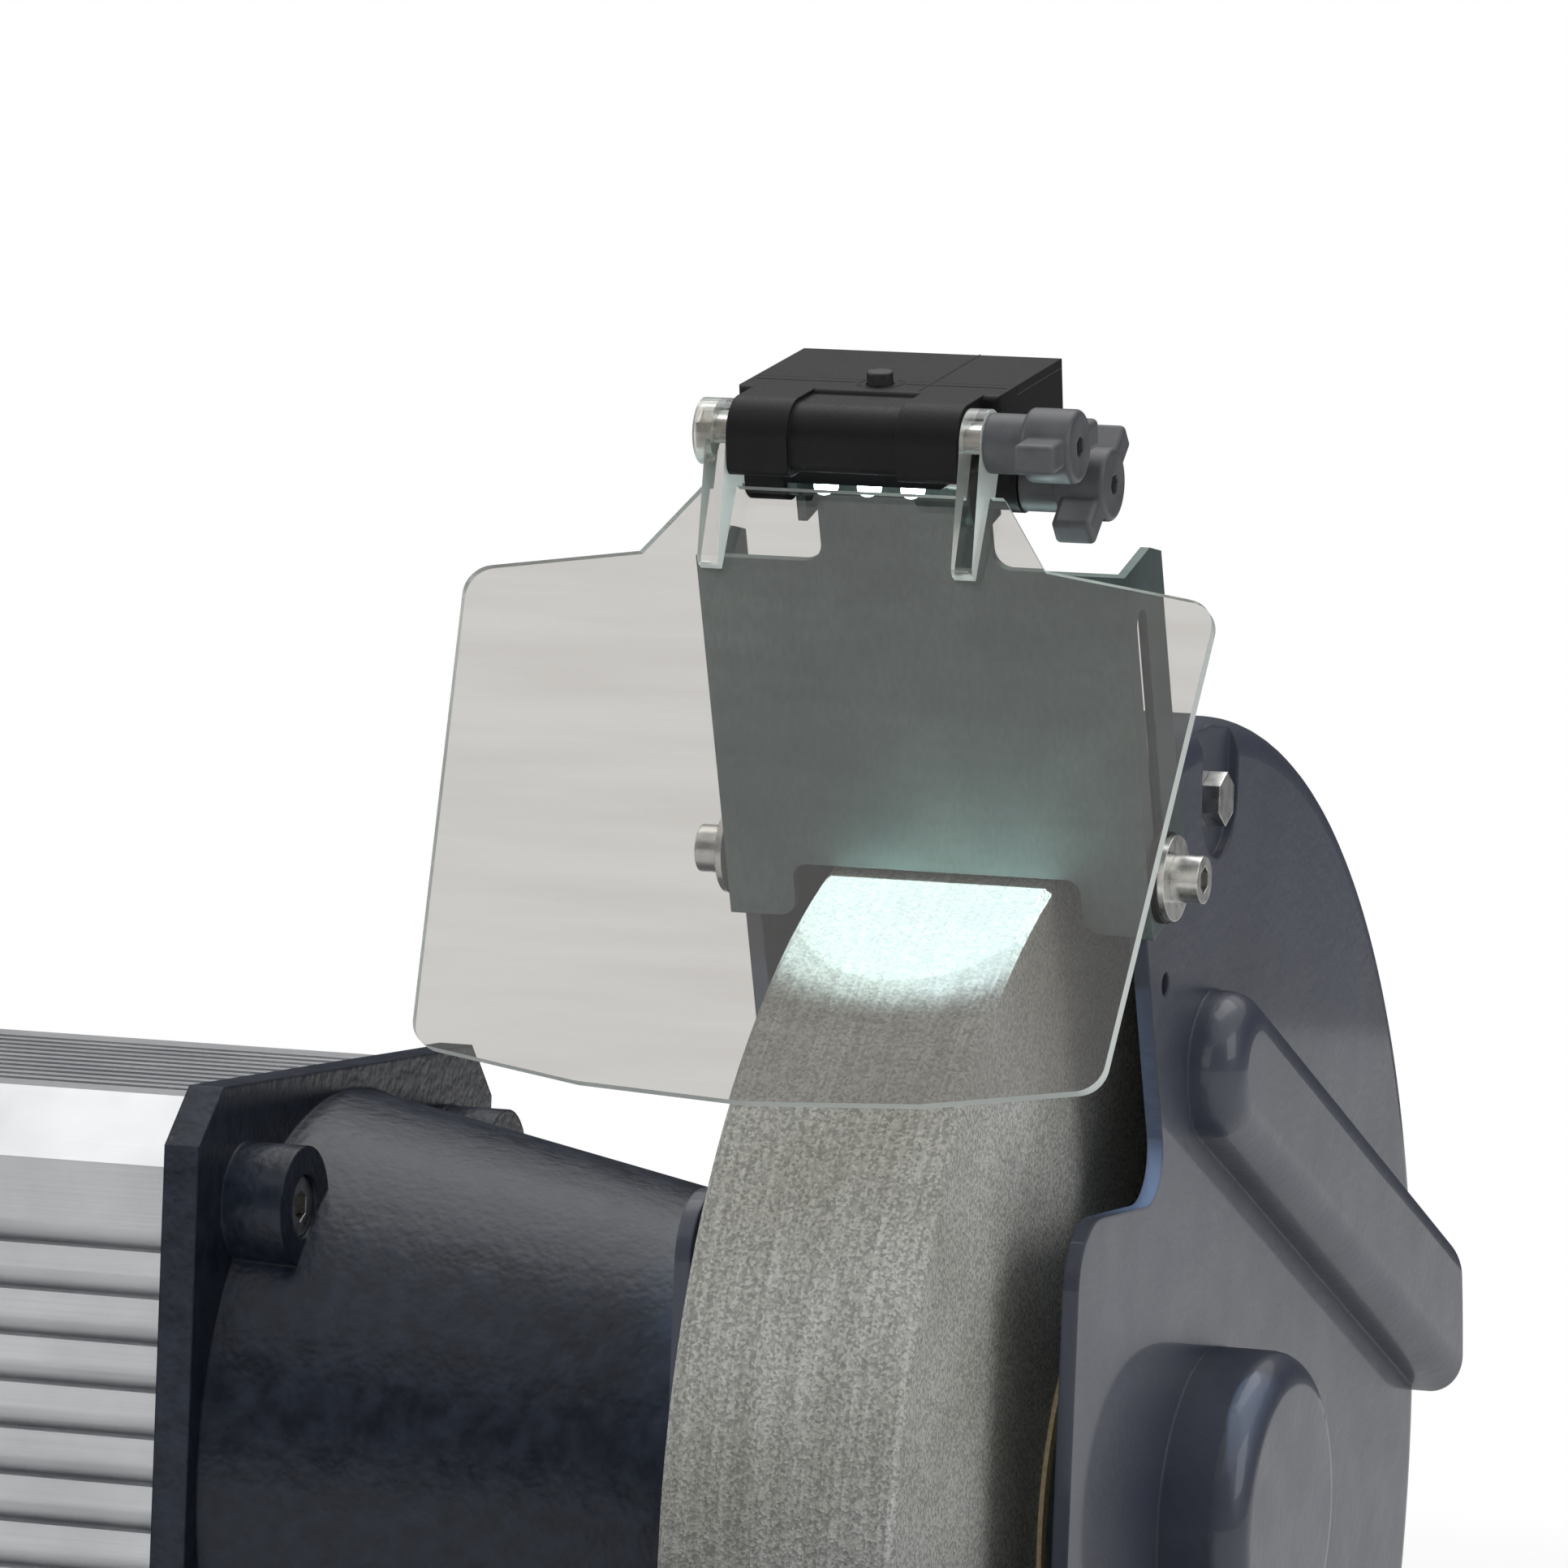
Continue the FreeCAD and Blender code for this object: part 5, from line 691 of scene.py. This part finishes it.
# %% Light panels
def panel(name, at, aim, size, watts, mirrored=True):
    """Hangs a square light panel at a place, facing another."""
    light = bpy.data.lights.new(name, "AREA")
    light.shape = "SQUARE"
    light.size = size
    light.energy = watts
    holder = bpy.data.objects.new(name, light)
    bpy.context.collection.objects.link(holder)
    holder.location = at
    holder.visible_glossy = mirrored
    holder.rotation_euler = (Vector(aim) - Vector(at)).to_track_quat("-Z", "Y").to_euler()
    print(name, watts, "W at", at)


MIDDLE = (0.1, 0, 0.25)
panel("overhead_panel", at=(0.2, 0.5, 2.2), aim=MIDDLE, size=1.6, watts=17)
panel("left_panel", at=(-1.9, -0.9, 1.3), aim=MIDDLE, size=1.2, watts=13)
panel("front_panel", at=(0.5, -2.3, 0.9), aim=MIDDLE, size=1.4, watts=12, mirrored=False)
panel("right_panel", at=(2.1, -0.4, 1.1), aim=MIDDLE, size=1.0, watts=10)

# %% [markdown]
# The camera stands about 2.1 m from the middle of the machine, at the height of the lamps,
# with a long lens, a little rolled.
# Its place was worked out from the pixels of known points, so its axes are written down
# rather than aimed by eye.

# %% Camera
TURN = math.radians(20.02)
DROP = math.radians(2.93)
ROLL = math.radians(2.23)
CAMERA_PLACE = (0.8982, -1.8795, 0.4580)
sideways = Vector((math.cos(TURN), math.sin(TURN), 0))
onward = Vector((-math.sin(TURN) * math.cos(DROP), math.cos(TURN) * math.cos(DROP), -math.sin(DROP)))
upward = sideways.cross(onward)
rolled_side = sideways * math.cos(ROLL) + upward * math.sin(ROLL)
rolled_up = upward * math.cos(ROLL) - sideways * math.sin(ROLL)
camera_data = bpy.data.cameras.new("camera")
camera_data.sensor_width = 36
camera_data.lens = 212.7
camera = bpy.data.objects.new("camera", camera_data)
bpy.context.collection.objects.link(camera)
stand = Matrix((rolled_side, rolled_up, -onward)).transposed().to_4x4()
stand.translation = Vector(CAMERA_PLACE)
camera.matrix_world = stand
bpy.context.scene.camera = camera
bpy.context.scene.view_settings.view_transform = "Standard"
print("camera", camera_data.lens, "mm")
